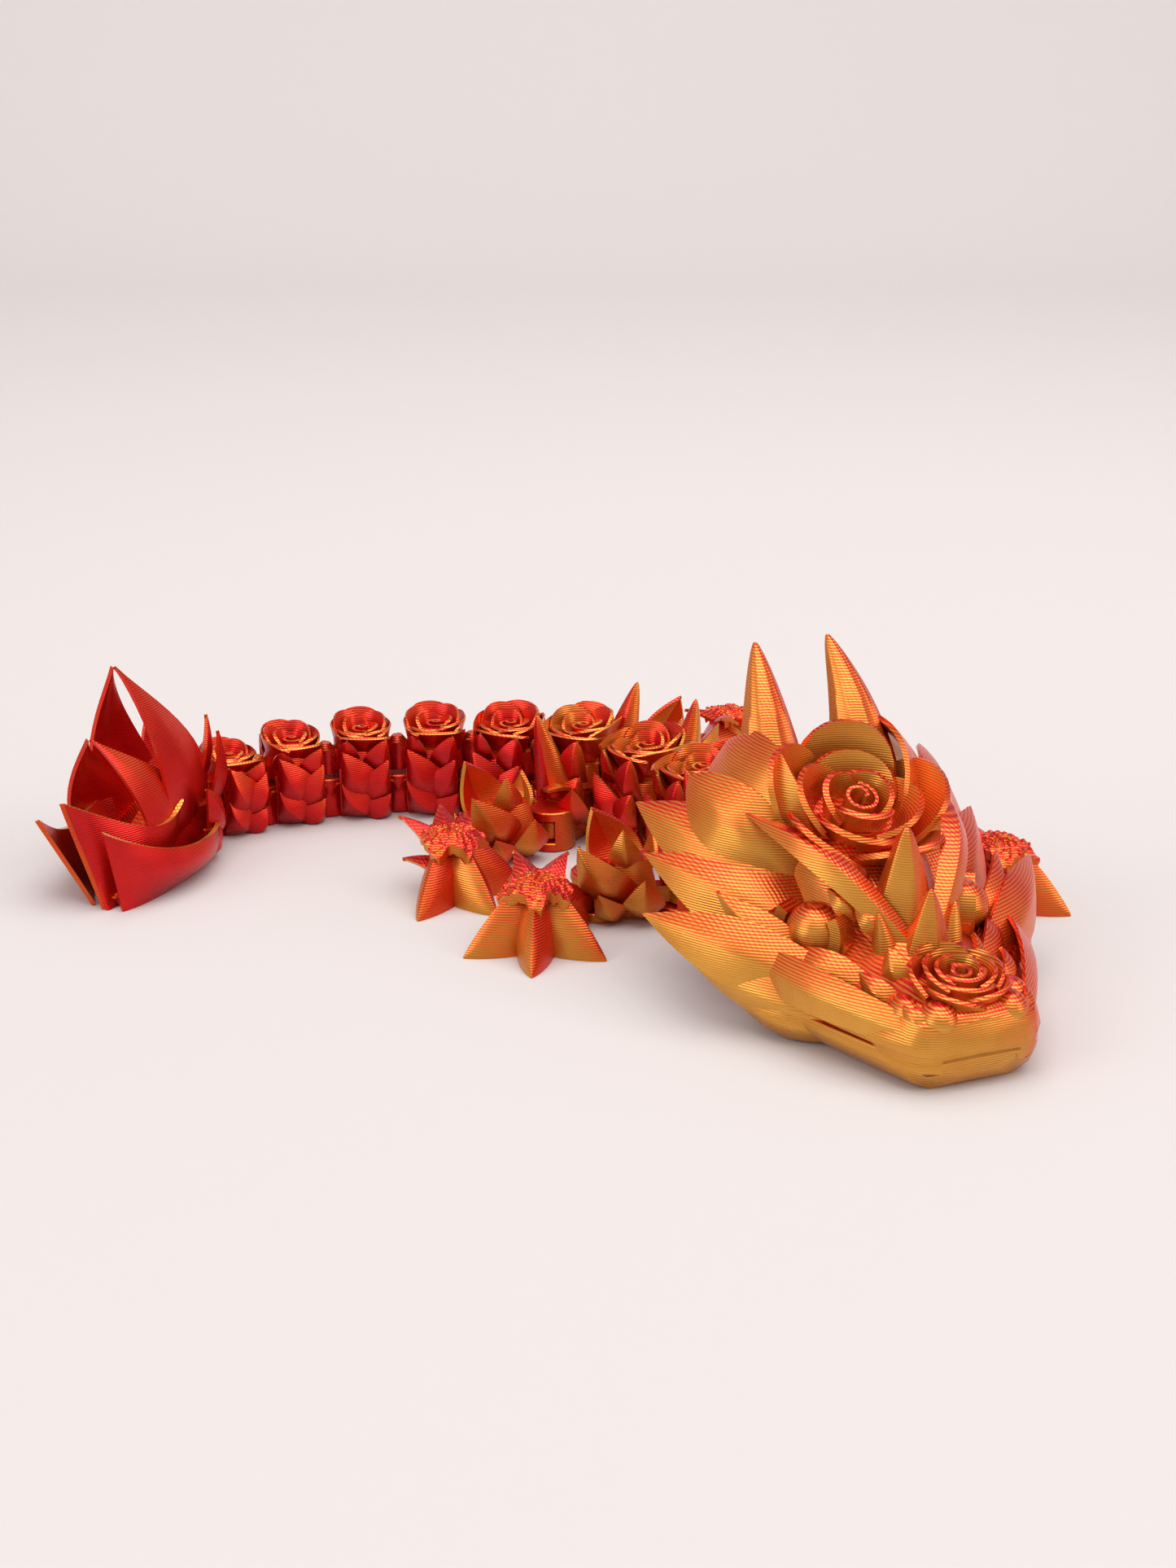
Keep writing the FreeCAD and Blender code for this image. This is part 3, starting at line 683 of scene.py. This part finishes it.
def upper_jaw():
    """The muzzle and the cheek planes behind it, above the mouth line."""
    rows = [(16, 9.0, 7.5, 13.0, 5.0, 18.0), (24, 14.2, 11.0, 12.5, 7.0, 18.0),
            (31, 17.8, 12.2, 11.4, 7.6, 16.0), (37, 18.2, 11.4, 10.2, 6.6, 14.2),
            (43, 16.0, 10.8, 9.2, 5.8, 12.6), (49, 13.6, 10.0, 9.3, 5.6, 11.6),
            (54, 11.6, 9.4, 9.6, 5.6, 11.2), (57.4, 9.8, 8.7, 9.6, 5.6, 10.7),
            (59.1, 8.3, 7.6, 9.0, 5.0, 10.1), (59.9, 6.2, 5.8, 8.4, 3.6, 9.2)]
    stations = []
    for x, wide, mid, mid_z, top, top_z in rows:
        lip = [(0, 5.3), (wide * 0.97, 5.3), (wide, 6.2), (wide * 0.97, 7.2)]
        stations.append((x, lip + [(mid, mid_z), (top, top_z), (0, top_z + 0.6)]))
    return half_sections(stations)


def cranium():
    """The skull behind the eyes, rising to the crown."""
    rows = [(7.5, (5.0, 3.0), (6.5, 11), (5.6, 18), (3.6, 23), 24.0),
            (15, (7.5, 3.0), (10.6, 12), (9.4, 20), (6.4, 26), 27.2),
            (23, (10.0, 3.5), (12.6, 12), (10.6, 19), (6.8, 24), 25.4),
            (31, (11.5, 4.5), (10.2, 12), (8.4, 17.4), (5.2, 20.4), 21.4),
            (39, (10.0, 5.6), (8.0, 10.5), (6.2, 13.6), (3.8, 15.2), 16.0),
            (47, (8.0, 5.6), (6.2, 10.0), (4.4, 11.8), (2.4, 12.6), 13.2)]
    stations = [(x, [(0, a[1]), a, b, c, d, (0, top)]) for x, a, b, c, d, top in rows]
    return half_sections(stations)


def neck_block():
    """The stump between the skull and the neck socket."""
    return slab([(3.1, -3.2), (3.1, 3.2), (16, 5.0), (16, -5.0)], 0.0, 13.0)


def mouth_web():
    """The narrow web between the jaws, so that the mouth is only a slit that closes towards the chin."""
    right = [(18, -9), (36, -16.8), (46, -13.0), (51, -11.2), (54, -11.25), (57.4, -9.5), (59.1, -8.0),
             (59.8, -6.0)]
    return slab(right + [(x, -y) for x, y in reversed(right)], 4.4, 6.0)


def ball(x, y, z, rx, ry, rz):
    """A rounded mound."""
    rings, rows, count = [], 12, 20
    for r in range(rows + 1):
        lift = -math.pi / 2 * 0.985 + math.pi * 0.985 * r / rows
        ring = circle(math.cos(lift), math.sin(lift), count)
        rings.append(ring * np.array([rx, ry, rz]) + np.array([x, y, z]))
    return loft(rings)


def cheek_leaves():
    """The fans of leaves behind and below one eye (the dragon's left)."""
    return fan([
        ((26, 6.4, 16.0), (8.2, 11.4, 30.6), (0.2, 0.9, 0.5), 16.0, 0.20, 0.16, 0.62, 0.5, 1.3),
        ((27, 8.2, 15.0), (10.2, 18.0, 27.0), (0.2, 0.8, 0.6), 11.0, 0.15, 0.25, 0.55, 0.7, 1.2),
        ((30, 8.0, 13.0), (5.0, 23.8, 22.0), (0.1, 0.7, 0.7), 12.5, 0.07, 0.30, 0.45, 1.0, 1.3),
        ((33, 9.0, 10.0), (12.5, 25.6, 17.4), (0.3, 0.8, 0.7), 11.0, 0.06, 0.35, 0.38, 1.0, 1.2),
        ((42, 12.0, 7.6), (22.2, 29.8, 13.0), (0.55, 0.75, 0.5), 9.0, 0.05, 0.35, 0.45, 1.0, 1.4),
        ((45, 12.6, 4.6), (27.5, 25.4, 8.0), (0.5, 0.9, 0.1), 6.2, 0.05, 0.4, 0.45, 1.0, 1.4),
        ((44, 12.6, 2.6), (31.6, 22.0, 5.6), (0.4, 1, -0.2), 5.6, 0.10, 0.4),
        ((57, 8.2, 7.6), (30.0, 19.6, 9.4), (0.45, 0.85, 0.35), 6.0, 0.07, 0.35, 0.6, 0.8, 1.0),
        ((37.0, 12.2, 8.2), (26.6, 21.2, 16.6), (0.5, 0.8, 0.5), 6.0, 0.10, 0.5, 0.38, 1.0, 1.3),
        ((46, 8.6, 8.6), (34.0, 15.0, 10.6), (0.5, 0.8, 0.5), 5.6, 0.12, 0.4),
        ((25, 4.0, 10.0), (4.8, 11.0, 17.0), (-0.2, 1, 0.2), 9.0, 0.10, 0.3, 0.38, 1.0, 1.3),
    ])


def eye():
    """One eyeball in its ring of lids (the dragon's left)."""
    ring = spun(tube(3.55, 5.2, -1.6, 1.7, -35, 245, 30), -90, "X")
    ring = shifted(spun(ring, -30), 35.2, 11.0, 13.4)
    brow_fold = spun(tube(4.75, 6.1, -2.4, 1.5, 10, 175, 30), -90, "X")
    brow_fold = shifted(spun(brow_fold, -30), 34.8, 10.9, 13.8)
    under = leaf((43.0, 8.0, 8.2), (30.5, 14.4, 9.6), (0.4, 0.9, 0.3), 3.6, bow=0.14, fold=0.5, wall=1.2)
    return [ball(35.2, 10.9, 13.2, 3.9, 3.7, 3.6), ring, brow_fold, under]


def brow():
    """The ridge of scales over one eye (the dragon's left)."""
    ridge = leaf((44.0, 1.6, 12.8), (20.8, 14.8, 24.8), (0.1, 0.5, 0.9), 4.4, bow=0.15, fold=0.6,
                 wall=1.8, full=0.5)
    parts = [ridge]
    for x, y, z in ((40.2, 5.0, 15.0), (37.0, 7.2, 16.4)):
        parts.append(leaf((x + 1.6, y - 0.8, z - 1.0), (x - 1.6, y + 2.2, z + 2.4), (0.5, 0.6, 0.6), 3.4,
                          bow=0.2, fold=0.5))
    return parts


def horn():
    """One tall fluted horn, leaning back (the dragon's left)."""
    return spike((14.6, 6.8, 19.5), (4.0, 5.6, 42.9), 12.4, flutes=11, groove=0.09, bend=(1.9, 0.6, 0.6),
                 rows=22, swell=0.74)


def snout():
    """Nostril mounds and the small plates round the nose rose."""
    mounds = [ball(57.2, 4.9, 9.3, 2.8, 2.6, 2.2), ball(53.4, 7.6, 9.0, 3.0, 2.2, 2.2),
              ball(57.0, 0.0, 9.6, 2.4, 2.2, 1.6)]
    plates = fan([
        ((52.0, 7.4, 8.2), (46.6, 10.4, 12.0), (0, 0.8, 0.6), 3.8, 0.14, 0.5),
        ((49.0, 5.0, 9.6), (46.4, 6.2, 14.6), (0.4, 0.8, 0.4), 4.0, 0.12, 0.5, 0.38, 1.0, 1.2),
        ((58.2, 6.6, 8.0), (55.0, 8.8, 10.8), (0.5, 0.8, 0.4), 3.0, 0.12, 0.5),
    ])
    return both_sides(mounds + plates)


def head_parts():
    """The whole head in its own frame: the neck pivot is at the origin, the snout on +x."""
    crown = rose(12.2, 14.0, 27.2, 16, CROWN_ROSE, depth=0.62, wall=0.95)
    crown = [shifted(spun(p, 28, "Y", (0, 0, 25)), 25.6, 0, 1.4) for p in crown]
    nose = rose(6.2, 8.4, 13.3, 30, NOSE_ROSE, depth=0.5)
    nose = [shifted(spun(p, 12, "Y", (0, 0, 11)), 53.0) for p in nose]
    thorns = [spike((38.2, 0, 11.5), (38.7, 0, 27.2), 10.4, flutes=5, groove=0.2),
              spike((44.8, 0, 8.5), (45.6, 0, 21.2), 8.6, flutes=5, groove=0.2)]
    side_thorns = both_sides([spike((43.0, 4.2, 9.5), (42.4, 5.6, 17.4), 5.0, flutes=4, groove=0.18)])
    fixed = [lower_jaw(), upper_jaw(), cranium(), neck_block(), mouth_web()]
    mirrored_parts = both_sides(cheek_leaves() + brow() + eye() + [horn()])
    return fixed + crown + nose + thorns + side_thorns + snout() + mirrored_parts + socket(0, 0, 180)


# ---- tail tip -----------------------------------------------------------------------
def bud_pair(tip, root, width, gape):
    """Two tall blades that lean together at their points, like an open pod.

    gape is how far they bow apart, as a share of their length."""
    blades, wall = [], 1.1
    for side in (1, -1):
        blades.append(leaf((root[0], side * root[1], root[2]), (tip[0], side * 0.45, tip[1]),
                           (0.12, side, 0.1), width, gape, 0.14, 0.26, 1.35, wall))
    return blades


def swept(part):
    """Sweeps the foot of the bud's front to one side, as it was printed."""
    points = part[0].copy()
    forward = np.clip(-points[:, 0] / 32, 0, 1) ** 2
    points[:, 1] -= 5.0 * forward * np.clip(1 - points[:, 2] / 16, 0, 1)
    return points, part[1]


def smooth_edge(corners, steps):
    """A cubic through an edge's corners, as points at these steps along it."""
    knots = np.linspace(0, 1, len(corners))
    return np.stack([np.polyval(np.polyfit(knots, [p[k] for p in corners], 3), steps) for k in range(3)],
                    axis=1)


def prow(bottom, top):
    """An upright wall of a leaf between its edge on the table and its free edge, bulging a little."""
    steps, v = np.linspace(0, 1, 21), np.linspace(0, 1, 8)[:, None, None]
    low, high = smooth_edge(bottom, steps), smooth_edge(top, steps)
    middle = (low + high) / 2
    outward = np.stack([0 * steps, np.sign(middle[:, 1] + 1e-6), 0 * steps], axis=1)
    bulge = 1.7 * np.sin(np.pi * v) * np.sin(np.pi * steps)[None, :, None]
    return shell(low + (high - low) * v + outward * bulge, wall=0.9, edge=0.8)


def tail_tip_parts():
    """The open bud at the tail's end; its pivot is at the origin and it lies along -x."""
    outline = [(-4.6, -2.6), (-4.6, 2.6), (-10, 6.0), (-22, 5.0), (-31.4, 1.8), (-31.4, -1.8),
               (-22, -5.0), (-10, -6.0)]
    keel = loft([[(x * 0.97, y * 0.8, 0) for x, y in outline], [(x, y, 1.6) for x, y in outline],
                 [(-4.6 + (x + 4.6) * 0.80, y * 1.1, 4.0) for x, y in outline],
                 [(-4.6 + (x + 4.6) * 0.36, y * 1.1, 8.6) for x, y in outline]])
    parts = bud_pair((-19.8, 33.7), (-8.6, 3.8, 1.6), 13.4, 0.125)
    parts += bud_pair((-26.9, 24.4), (-13.6, 4.0, 1.0), 12.0, 0.17)
    walls = [
        prow([(-6.5, 6.4, 0), (-14, 7.8, 0), (-24, 6.4, 0), (-32.0, 2.8, 0)],
             [(-8.0, 9.0, 6.6), (-16, 11.2, 6.6), (-25, 9.8, 8.2), (-34.2, 6.2, 13.0)]),
        prow([(-16, 2.6, 0), (-21, 2.6, 0), (-27, 1.8, 0), (-32.6, 0.5, 0)],
             [(-15, 7.4, 12.0), (-21, 7.4, 10.2), (-27, 5.2, 12.0), (-34.0, 0.6, 16.4)]),
    ]
    sides = fan([
        ((-5.6, 3.0, 1.0), (-10.6, 9.0, 12.4), (0.2, 1, 0), 7.0, 0.14, 0.5, 0.5),
        ((-5.4, 2.6, 4.0), (-3.6, 6.8, 19.6), (0.5, 1, 0), 5.6, 0.10, 0.5, 0.5),
        ((-6.0, 3.4, 0.4), (-12.5, 9.6, 6.4), (0, 1, -0.2), 6.4, 0.16, 0.5, 0.5),
        ((-6.6, 1.4, 7.6), (-4.7, 5.6, 22.4), (0.6, 0.8, 0), 5.0, 0.08, 0.5, 0.5),
    ])
    parts += both_sides(sides) + [swept(p) for p in [keel] + both_sides(walls)]
    parts = [clear_of(p, 0, top=12.5) for p in parts]
    return parts + tongue(0, 180, 5.4)


# ---- materials ----------------------------------------------------------------------
def settings():
    return bpy.context.scene.dragon_print


def linear(hex_colour):
    """An sRGB hex colour as linear RGBA."""
    values = [int(hex_colour[i:i + 2], 16) / 255 for i in (1, 3, 5)]
    return [v / 12.92 if v <= 0.04045 else ((v + 0.055) / 1.055) ** 2.4 for v in values] + [1.0]


def add_node(tree, kind, inputs=(), **values):
    """Adds a node, sets its values, and fills its inputs in order or by name.

    An input takes a number or a colour, another node's output, or a node for its first output."""
    node = tree.nodes.new(kind)
    for key, value in values.items():
        setattr(node, key, value)
    for key, value in inputs.items() if isinstance(inputs, dict) else enumerate(inputs):
        source = value.outputs[0] if isinstance(value, bpy.types.Node) else value
        if isinstance(source, bpy.types.NodeSocket):
            tree.links.new(source, node.inputs[key])
        else:
            node.inputs[key].default_value = source
    return node


def silk_pla(name, gold_heading, gold_share, side_pull, up_tint_and_highlight, top_pull):
    """Two-colour silk PLA, extruded in layers: a satin, almost metallic gloss.

    Each bead is red on one side and gold on the other, so the colour follows which way a wall
    faces on the print bed. Slopes show both, layer by layer. gold_heading is where the gold
    side faces as the toy lies; top_pull tints flat tops, where the beads lie side by side. The pull
    towards upward faces is partly the filament's tint and, where positive, partly a painted highlight."""
    material = bpy.data.materials.new(name)
    material.use_nodes = True
    tree = material.node_tree
    tree.nodes.clear()
    add = partial(add_node, tree)
    place = add("ShaderNodeTexCoord")
    normal = add("ShaderNodeSeparateXYZ", [place.outputs["Normal"]])
    point = add("ShaderNodeSeparateXYZ", [place.outputs["Object"]])
    turn = math.radians(gold_heading)
    gold_side = (math.cos(turn), math.sin(turn), 0.0)
    facing = add("ShaderNodeVectorMath", [place.outputs["Normal"], gold_side], operation="DOT_PRODUCT")
    wander = add("ShaderNodeTexNoise", {"Vector": place.outputs["Object"], "Scale": 140.0, "Detail": 2.0,
                                        "Roughness": 0.5})
    # Real layers are about 0.25 mm high; they are drawn coarser so that they show.
    pitch = settings().layer_pitch * MM
    drift = add(MATH, [wander, 1.3], operation="MULTIPLY")
    phase = add(MATH, [point.outputs[2], 2 * math.pi / pitch, drift], operation="MULTIPLY_ADD")
    layers = add(MATH, [phase], operation="SINE")
    # Beads on flat tops lie side by side, about 0.42 mm wide, and waver.
    bead = settings().bead_pitch * MM
    sway = add(MATH, [wander, 9.0], operation="MULTIPLY")
    slant = add(MATH, [point.outputs[1], 0.6], operation="MULTIPLY")
    across = add(MATH, [point.outputs[0], slant], operation="ADD")
    wave = add(MATH, [across, 2 * math.pi / bead, sway], operation="MULTIPLY_ADD")
    beads = add(MATH, [wave], operation="SINE")
    # How flat and how sloping a face is, and how much layers and beads show on it.
    up = add(MATH, [normal.outputs[2]], operation="ABSOLUTE")
    flat_top = add(MATH, [normal.outputs[2], 2.5, -1.25], operation="MULTIPLY_ADD", use_clamp=True)
    slope = add(MATH, [up, 1.3, 0.10], operation="MULTIPLY_ADD", use_clamp=True)
    layers_seen = add(MATH, [layers, add(MATH, [slope, LAYER_SHIFT], operation="MULTIPLY")],
                      operation="MULTIPLY")
    beads_seen = add(MATH, [beads, flat_top], operation="MULTIPLY")
    # The share of gold: which way the face points and how far it faces up (partly a painted
    # highlight), then layers, flat tops, beads and wandering.
    tone = add(MATH, [facing.outputs["Value"], side_pull, EVEN_MIX + gold_share],
               operation="MULTIPLY_ADD")
    # Upward faces shift: partly the filament's tint, and where the pull is positive partly a painted
    # highlight, lighter and more orange.
    tone = add(MATH, [normal.outputs[2], up_tint_and_highlight, tone], operation="MULTIPLY_ADD")
    tone = add(MATH, [tone, layers_seen], operation="ADD")
    tone = add(MATH, [flat_top, top_pull, tone], operation="MULTIPLY_ADD")
    tone = add(MATH, [beads_seen, BEAD_SHIFT, tone], operation="MULTIPLY_ADD")
    patches = add(MATH, [wander, 0.5], operation="SUBTRACT")
    tone = add(MATH, [patches, WANDER_SHIFT, tone], operation="MULTIPLY_ADD", use_clamp=True)
    colours = bpy.context.scene.dragon_colours
    ramp = add("ShaderNodeValToRGB", [tone])
    stops = [(0.0, colours.shadow_red), (0.24, colours.red), (0.50, colours.orange), (0.76, colours.gold),
             (1.0, colours.bright_gold)]
    for position, _ in stops[1:-1]:
        ramp.color_ramp.elements.new(position)
    for element, (position, hex_colour) in zip(ramp.color_ramp.elements, stops):
        element.position = position
        element.color = linear(hex_colour)
    # Ridges of layers on walls and of beads on flat tops, and patches that are a little duller.
    walls = add(MATH, [1.0, flat_top], operation="SUBTRACT")
    relief = add(MATH, [layers, walls], operation="MULTIPLY")
    relief = add(MATH, [relief, beads_seen], operation="ADD")
    relief = add(MATH, [wander, 0.6, relief], operation="MULTIPLY_ADD")
    bump = add("ShaderNodeBump", {"Height": relief, "Strength": 0.30, "Distance": 0.00006})
    gloss = add(MATH, [wander, 0.16, 0.20], operation="MULTIPLY_ADD")
    shader = add("ShaderNodeBsdfPrincipled", {
        "Base Color": ramp, "Normal": bump, "Roughness": gloss, "Metallic": 0.68, "IOR": 1.46,
        "Coat Weight": 0.12, "Coat Roughness": 0.32})
    add("ShaderNodeOutputMaterial", {"Surface": shader})
    return material


def sweep_with_painted_light():
    """Matt painted board, a dull and even surface; its colour grows paler where it curves up behind, as
    painted light on the rising backdrop.
    """
    material = bpy.data.materials.new("matt_board_with_painted_light")
    material.use_nodes = True
    tree = material.node_tree
    shader = tree.nodes["Principled BSDF"]
    place = add_node(tree, "ShaderNodeTexCoord")
    point = add_node(tree, "ShaderNodeSeparateXYZ", [place.outputs["Object"]])
    # Painted light: the colour runs from the floor's to the paler backdrop's as the board rises behind.
    back = add_node(tree, MATH, [point.outputs[1], 0.85, 0.0], operation="MULTIPLY_ADD", use_clamp=True)
    colours = bpy.context.scene.dragon_colours
    ends = {"Factor": back, 6: linear(colours.floor), 7: linear(colours.backdrop_painted_lighter)}
    board_colour_and_painted_light = add_node(tree, "ShaderNodeMix", ends, data_type="RGBA")
    tree.links.new(board_colour_and_painted_light.outputs[2], shader.inputs["Base Color"])
    shader.inputs["Roughness"].default_value = 0.85
    return material


# ---- making objects -----------------------------------------------------------------
CREASE = math.radians(34)


def build_piece(name, node, parts, place, material, rim_material):
    """Joins parts into one mesh, puts it where its frame node is, and replaces that node."""
    points, faces, start = [], [], 0
    for part_points, part_faces in parts:
        points.append(part_points)
        faces += [type(f)(i + start for i in f) for f in part_faces]
        start += len(part_points)
    points = np.concatenate(points)
    centre, heading = place
    turn = np.array(Matrix.Rotation(math.radians(heading), 3, "Z"))
    world = (points @ turn.T + np.array([centre[0], centre[1], 0.0])) * MM
    world[:, 2] = np.maximum(world[:, 2], 0.0)
    mesh = bpy.data.meshes.new(name)
    mesh.from_pydata(world.tolist(), [], faces)
    mesh.polygons.foreach_set("material_index", [int(isinstance(f, RimFace)) for f in faces])
    tidy = bmesh.new()
    tidy.from_mesh(mesh)
    bmesh.ops.remove_doubles(tidy, verts=tidy.verts, dist=1e-7)
    bmesh.ops.dissolve_degenerate(tidy, edges=tidy.edges, dist=1e-7)
    bmesh.ops.recalc_face_normals(tidy, faces=tidy.faces)
    for edge in tidy.edges:
        edge.smooth = len(edge.link_faces) == 2 and edge.calc_face_angle(0.0) < CREASE
    for face in tidy.faces:
        face.smooth = True
    tidy.to_mesh(mesh)
    tidy.free()
    for finish in (material, rim_material):
        mesh.materials.append(finish)
    piece = bpy.data.objects.new(name, mesh)
    bpy.context.scene.collection.objects.link(piece)
    # Every link of the print is a body of its own, with its node's name.
    body = node
    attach(piece, body)
    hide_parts(node)
    return piece


def silk_pair(area):
    """The silk of one area's walls, and the same silk on their thin rims with a shifted share of gold:
    partly the filament's other side, and where it adds gold partly a painted highlight on the edges.
    """
    walls = dict(SILKS[area])
    shift = walls.pop("rims")
    # The rim shift is partly the filament's other side and, where it adds gold, partly a painted
    # highlight on thin edges.
    rims = dict(walls, gold_share=walls["gold_share"] + shift)
    name = "silk_pla_" + area
    return silk_pla(name, **walls), silk_pla(name + "_rims", **rims)


# ---- operators ----------------------------------------------------------------------
class DRAGON_OT_head(bpy.types.Operator):
    """Build the head: jaws, horns, cheek leaves, brow thorns and its two roses"""
    bl_idname = "dragon.head"
    bl_label = "Head"

    def execute(self, context):
        silk, rims = silk_pair("head")
        place = axis_place("head", "neck", 0.1)
        build_piece("printed_head", "head", head_parts(), place, silk, rims)
        return {"FINISHED"}


class DRAGON_OT_spine(bpy.types.Operator):
    """Build the spine and tail links, each with its rose and leaves"""
    bl_idname = "dragon.spine"
    bl_label = "Spine and tail links"

    def execute(self, context):
        torso = silk_pair("torso")
        tail = silk_pair("tail")
        for index, (node, front, behind) in enumerate(SPINE):
            centre, heading, length = link_place(front, behind)
            legs = []
            for _, owner, side, root, knee, _ in LIMBS:
                if owner == node:
                    legs.append(self.leg_socket(centre, heading, side, root, knee))
            parts = link_parts(node, length, index, legs)
            silk, rims = tail if node.startswith("tail") else torso
            build_piece("printed_" + node, node, parts, (centre, heading), silk, rims)
        return {"FINISHED"}

    def leg_socket(self, centre, heading, side, root, knee):
        """Where a leg's socket sits on its link and which way it opens."""
        away = JOINT_AT[root] - centre
        local = Matrix.Rotation(math.radians(-heading), 2) @ away
        thigh_heading = heading_of(JOINT_AT[knee] - JOINT_AT[root])
        lean = (thigh_heading - heading - side * 90 + 180) % 360 - 180
        return side, local.x, abs(local.y), side * 90 + 0.6 * lean


class DRAGON_OT_legs(bpy.types.Operator):
    """Build the four legs: thighs with their leaves, and clawed feet"""
    bl_idname = "dragon.legs"
    bl_label = "Legs"

    def execute(self, context):
        near = silk_pair("near_legs")
        far = silk_pair("far_legs")
        for name, _, side, root, knee, claw_heading in LIMBS:
            silk, rims = near if side < 0 else far
            bone = JOINT_AT[knee] - JOINT_AT[root]
            thigh_heading = heading_of(bone)
            ankle = self.ankle(name + "_foot")
            shin = ankle - JOINT_AT[knee]
            shin_heading = heading_of(shin)
            bend = (shin_heading - thigh_heading + 180) % 360 - 180
            build_piece("printed_" + name + "_thigh", name + "_thigh",
                        thigh_parts(side, bone.length, 0.6 * bend),
                        (JOINT_AT[root], thigh_heading), silk, rims)
            foot = foot_parts(shin.length, claw_heading - shin_heading)
            build_piece("printed_" + name + "_foot", name + "_foot", foot, (JOINT_AT[knee], shin_heading),
                        silk, rims)
        return {"FINISHED"}

    def ankle(self, node):
        """The middle of a foot's flat top."""
        points = node_points(node)
        top = points[np.abs(points[:, 2] - ANKLE_TOP) < 0.02]
        corners = np.unique(top[:, :2].round(2), axis=0)
        return Vector(corners.mean(axis=0))


class DRAGON_OT_tail_tip(bpy.types.Operator):
    """Build the open bud of big leaves at the end of the tail"""
    bl_idname = "dragon.tail_tip"
    bl_label = "Tail tip"

    def execute(self, context):
        silk, rims = silk_pair("tail_tip")
        pivot, away = axis_place("tail_tip", "tail_tip_joint", 0.1)
        build_piece("printed_tail_tip", "tail_tip", tail_tip_parts(), (pivot, away + 180 + BUD_TWIST),
                    silk, rims)
        return {"FINISHED"}


class DRAGON_OT_stage(bpy.types.Operator):
    """Set the pale sweep, the soft lights and the camera"""
    bl_idname = "dragon.stage"
    bl_label = "Stage"

    def execute(self, context):
        self.sweep()
        self.lights()
        self.camera()
        context.scene.view_settings.view_transform = "Standard"
        return {"FINISHED"}

    def sweep(self):
        """A board that lies flat and curves up far behind the toy."""
        profile = [(-1.2, 0.0), (0.75, 0.0)]
        profile += [(0.75 + 0.5 * math.sin(a),
                     0.5 - 0.5 * math.cos(a)) for a in np.radians(range(6, 91, 6))]
        profile += [(1.25, 2.2)]
        points = [(x, y, z - 0.00002) for y, z in profile for x in (-1.8, 1.8)]
        faces = [(2 * k, 2 * k + 1, 2 * k + 3, 2 * k + 2) for k in range(len(profile) - 1)]
        mesh = bpy.data.meshes.new("table_sweep")
        mesh.from_pydata(points, [], faces)
        mesh.materials.append(sweep_with_painted_light())
        for polygon in mesh.polygons:
            polygon.use_smooth = True
        board = bpy.data.objects.new("table_sweep", mesh)
        bpy.context.scene.collection.objects.link(board)

    def lights(self):
        """One wide soft light overhead, weaker ones from both sides, and a pale surround."""
        for name, place, aim, size, power in SOFTBOXES:
            data = bpy.data.lights.new(name, "AREA")
            data.size = size
            data.energy = power
            lamp = bpy.data.objects.new(name, data)
            lamp.location = place
            lamp.rotation_euler = (Vector(aim) - Vector(place)).to_track_quat("-Z", "Y").to_euler()
            bpy.context.scene.collection.objects.link(lamp)
        world = bpy.data.worlds.new("studio_surround")
        bpy.context.scene.world = world
        world.use_nodes = True
        tree = world.node_tree
        way = add_node(tree, "ShaderNodeTexCoord")
        rise = add_node(tree, "ShaderNodeSeparateXYZ", [way.outputs["Generated"]])
        glow = add_node(tree, MATH, [rise.outputs[2], 0.62, 0.30], operation="MULTIPLY_ADD")
        surround = tree.nodes["Background"]
        surround.inputs["Color"].default_value = (1.0, 0.985, 0.98, 1.0)
        tree.links.new(glow.outputs[0], surround.inputs["Strength"])

    def camera(self):
        """A camera that looks slightly down on the toy from the front."""
        data = bpy.data.cameras.new("front_view")
        data.sensor_fit = "VERTICAL"
        data.sensor_height = SENSOR_MM
        data.lens = LENS_MM
        data.clip_start = NEAR_CLIP
        eye = bpy.data.objects.new("front_view", data)
        eye.location = CAMERA_PLACE
        eye.rotation_euler = (math.radians(CAMERA_TILT), 0.0, 0.0)
        bpy.context.scene.collection.objects.link(eye)
        bpy.context.scene.camera = eye


class DRAGON_PT_sidebar(bpy.types.Panel):
    """The dragon's pieces and the filament's settings."""
    bl_label = "Rose Dragon"
    bl_idname = "DRAGON_PT_sidebar"
    bl_space_type = "VIEW_3D"
    bl_region_type = "UI"
    bl_category = "Rose Dragon"

    def draw(self, context):
        for group in (context.scene.dragon_print, context.scene.dragon_colours):
            for key in type(group).__annotations__:
                self.layout.prop(group, key)
        for operator in OPERATORS:
            self.layout.operator(operator.bl_idname)


OPERATORS = (DRAGON_OT_stage, DRAGON_OT_head, DRAGON_OT_spine, DRAGON_OT_legs, DRAGON_OT_tail_tip)
CLASSES = (PrintSettings, FilamentColours) + OPERATORS + (DRAGON_PT_sidebar,)


def register():
    for cls in CLASSES:
        bpy.utils.register_class(cls)
    bpy.types.Scene.dragon_print = PointerProperty(type=PrintSettings)
    bpy.types.Scene.dragon_colours = PointerProperty(type=FilamentColours)


def unregister():
    del bpy.types.Scene.dragon_colours
    del bpy.types.Scene.dragon_print
    for cls in reversed(CLASSES):
        bpy.utils.unregister_class(cls)


def main():
    register()
    bpy.ops.dragon.stage()
    bpy.ops.dragon.head()
    bpy.ops.dragon.spine()
    bpy.ops.dragon.legs()
    bpy.ops.dragon.tail_tip()


if __name__ == "__main__":
    main()
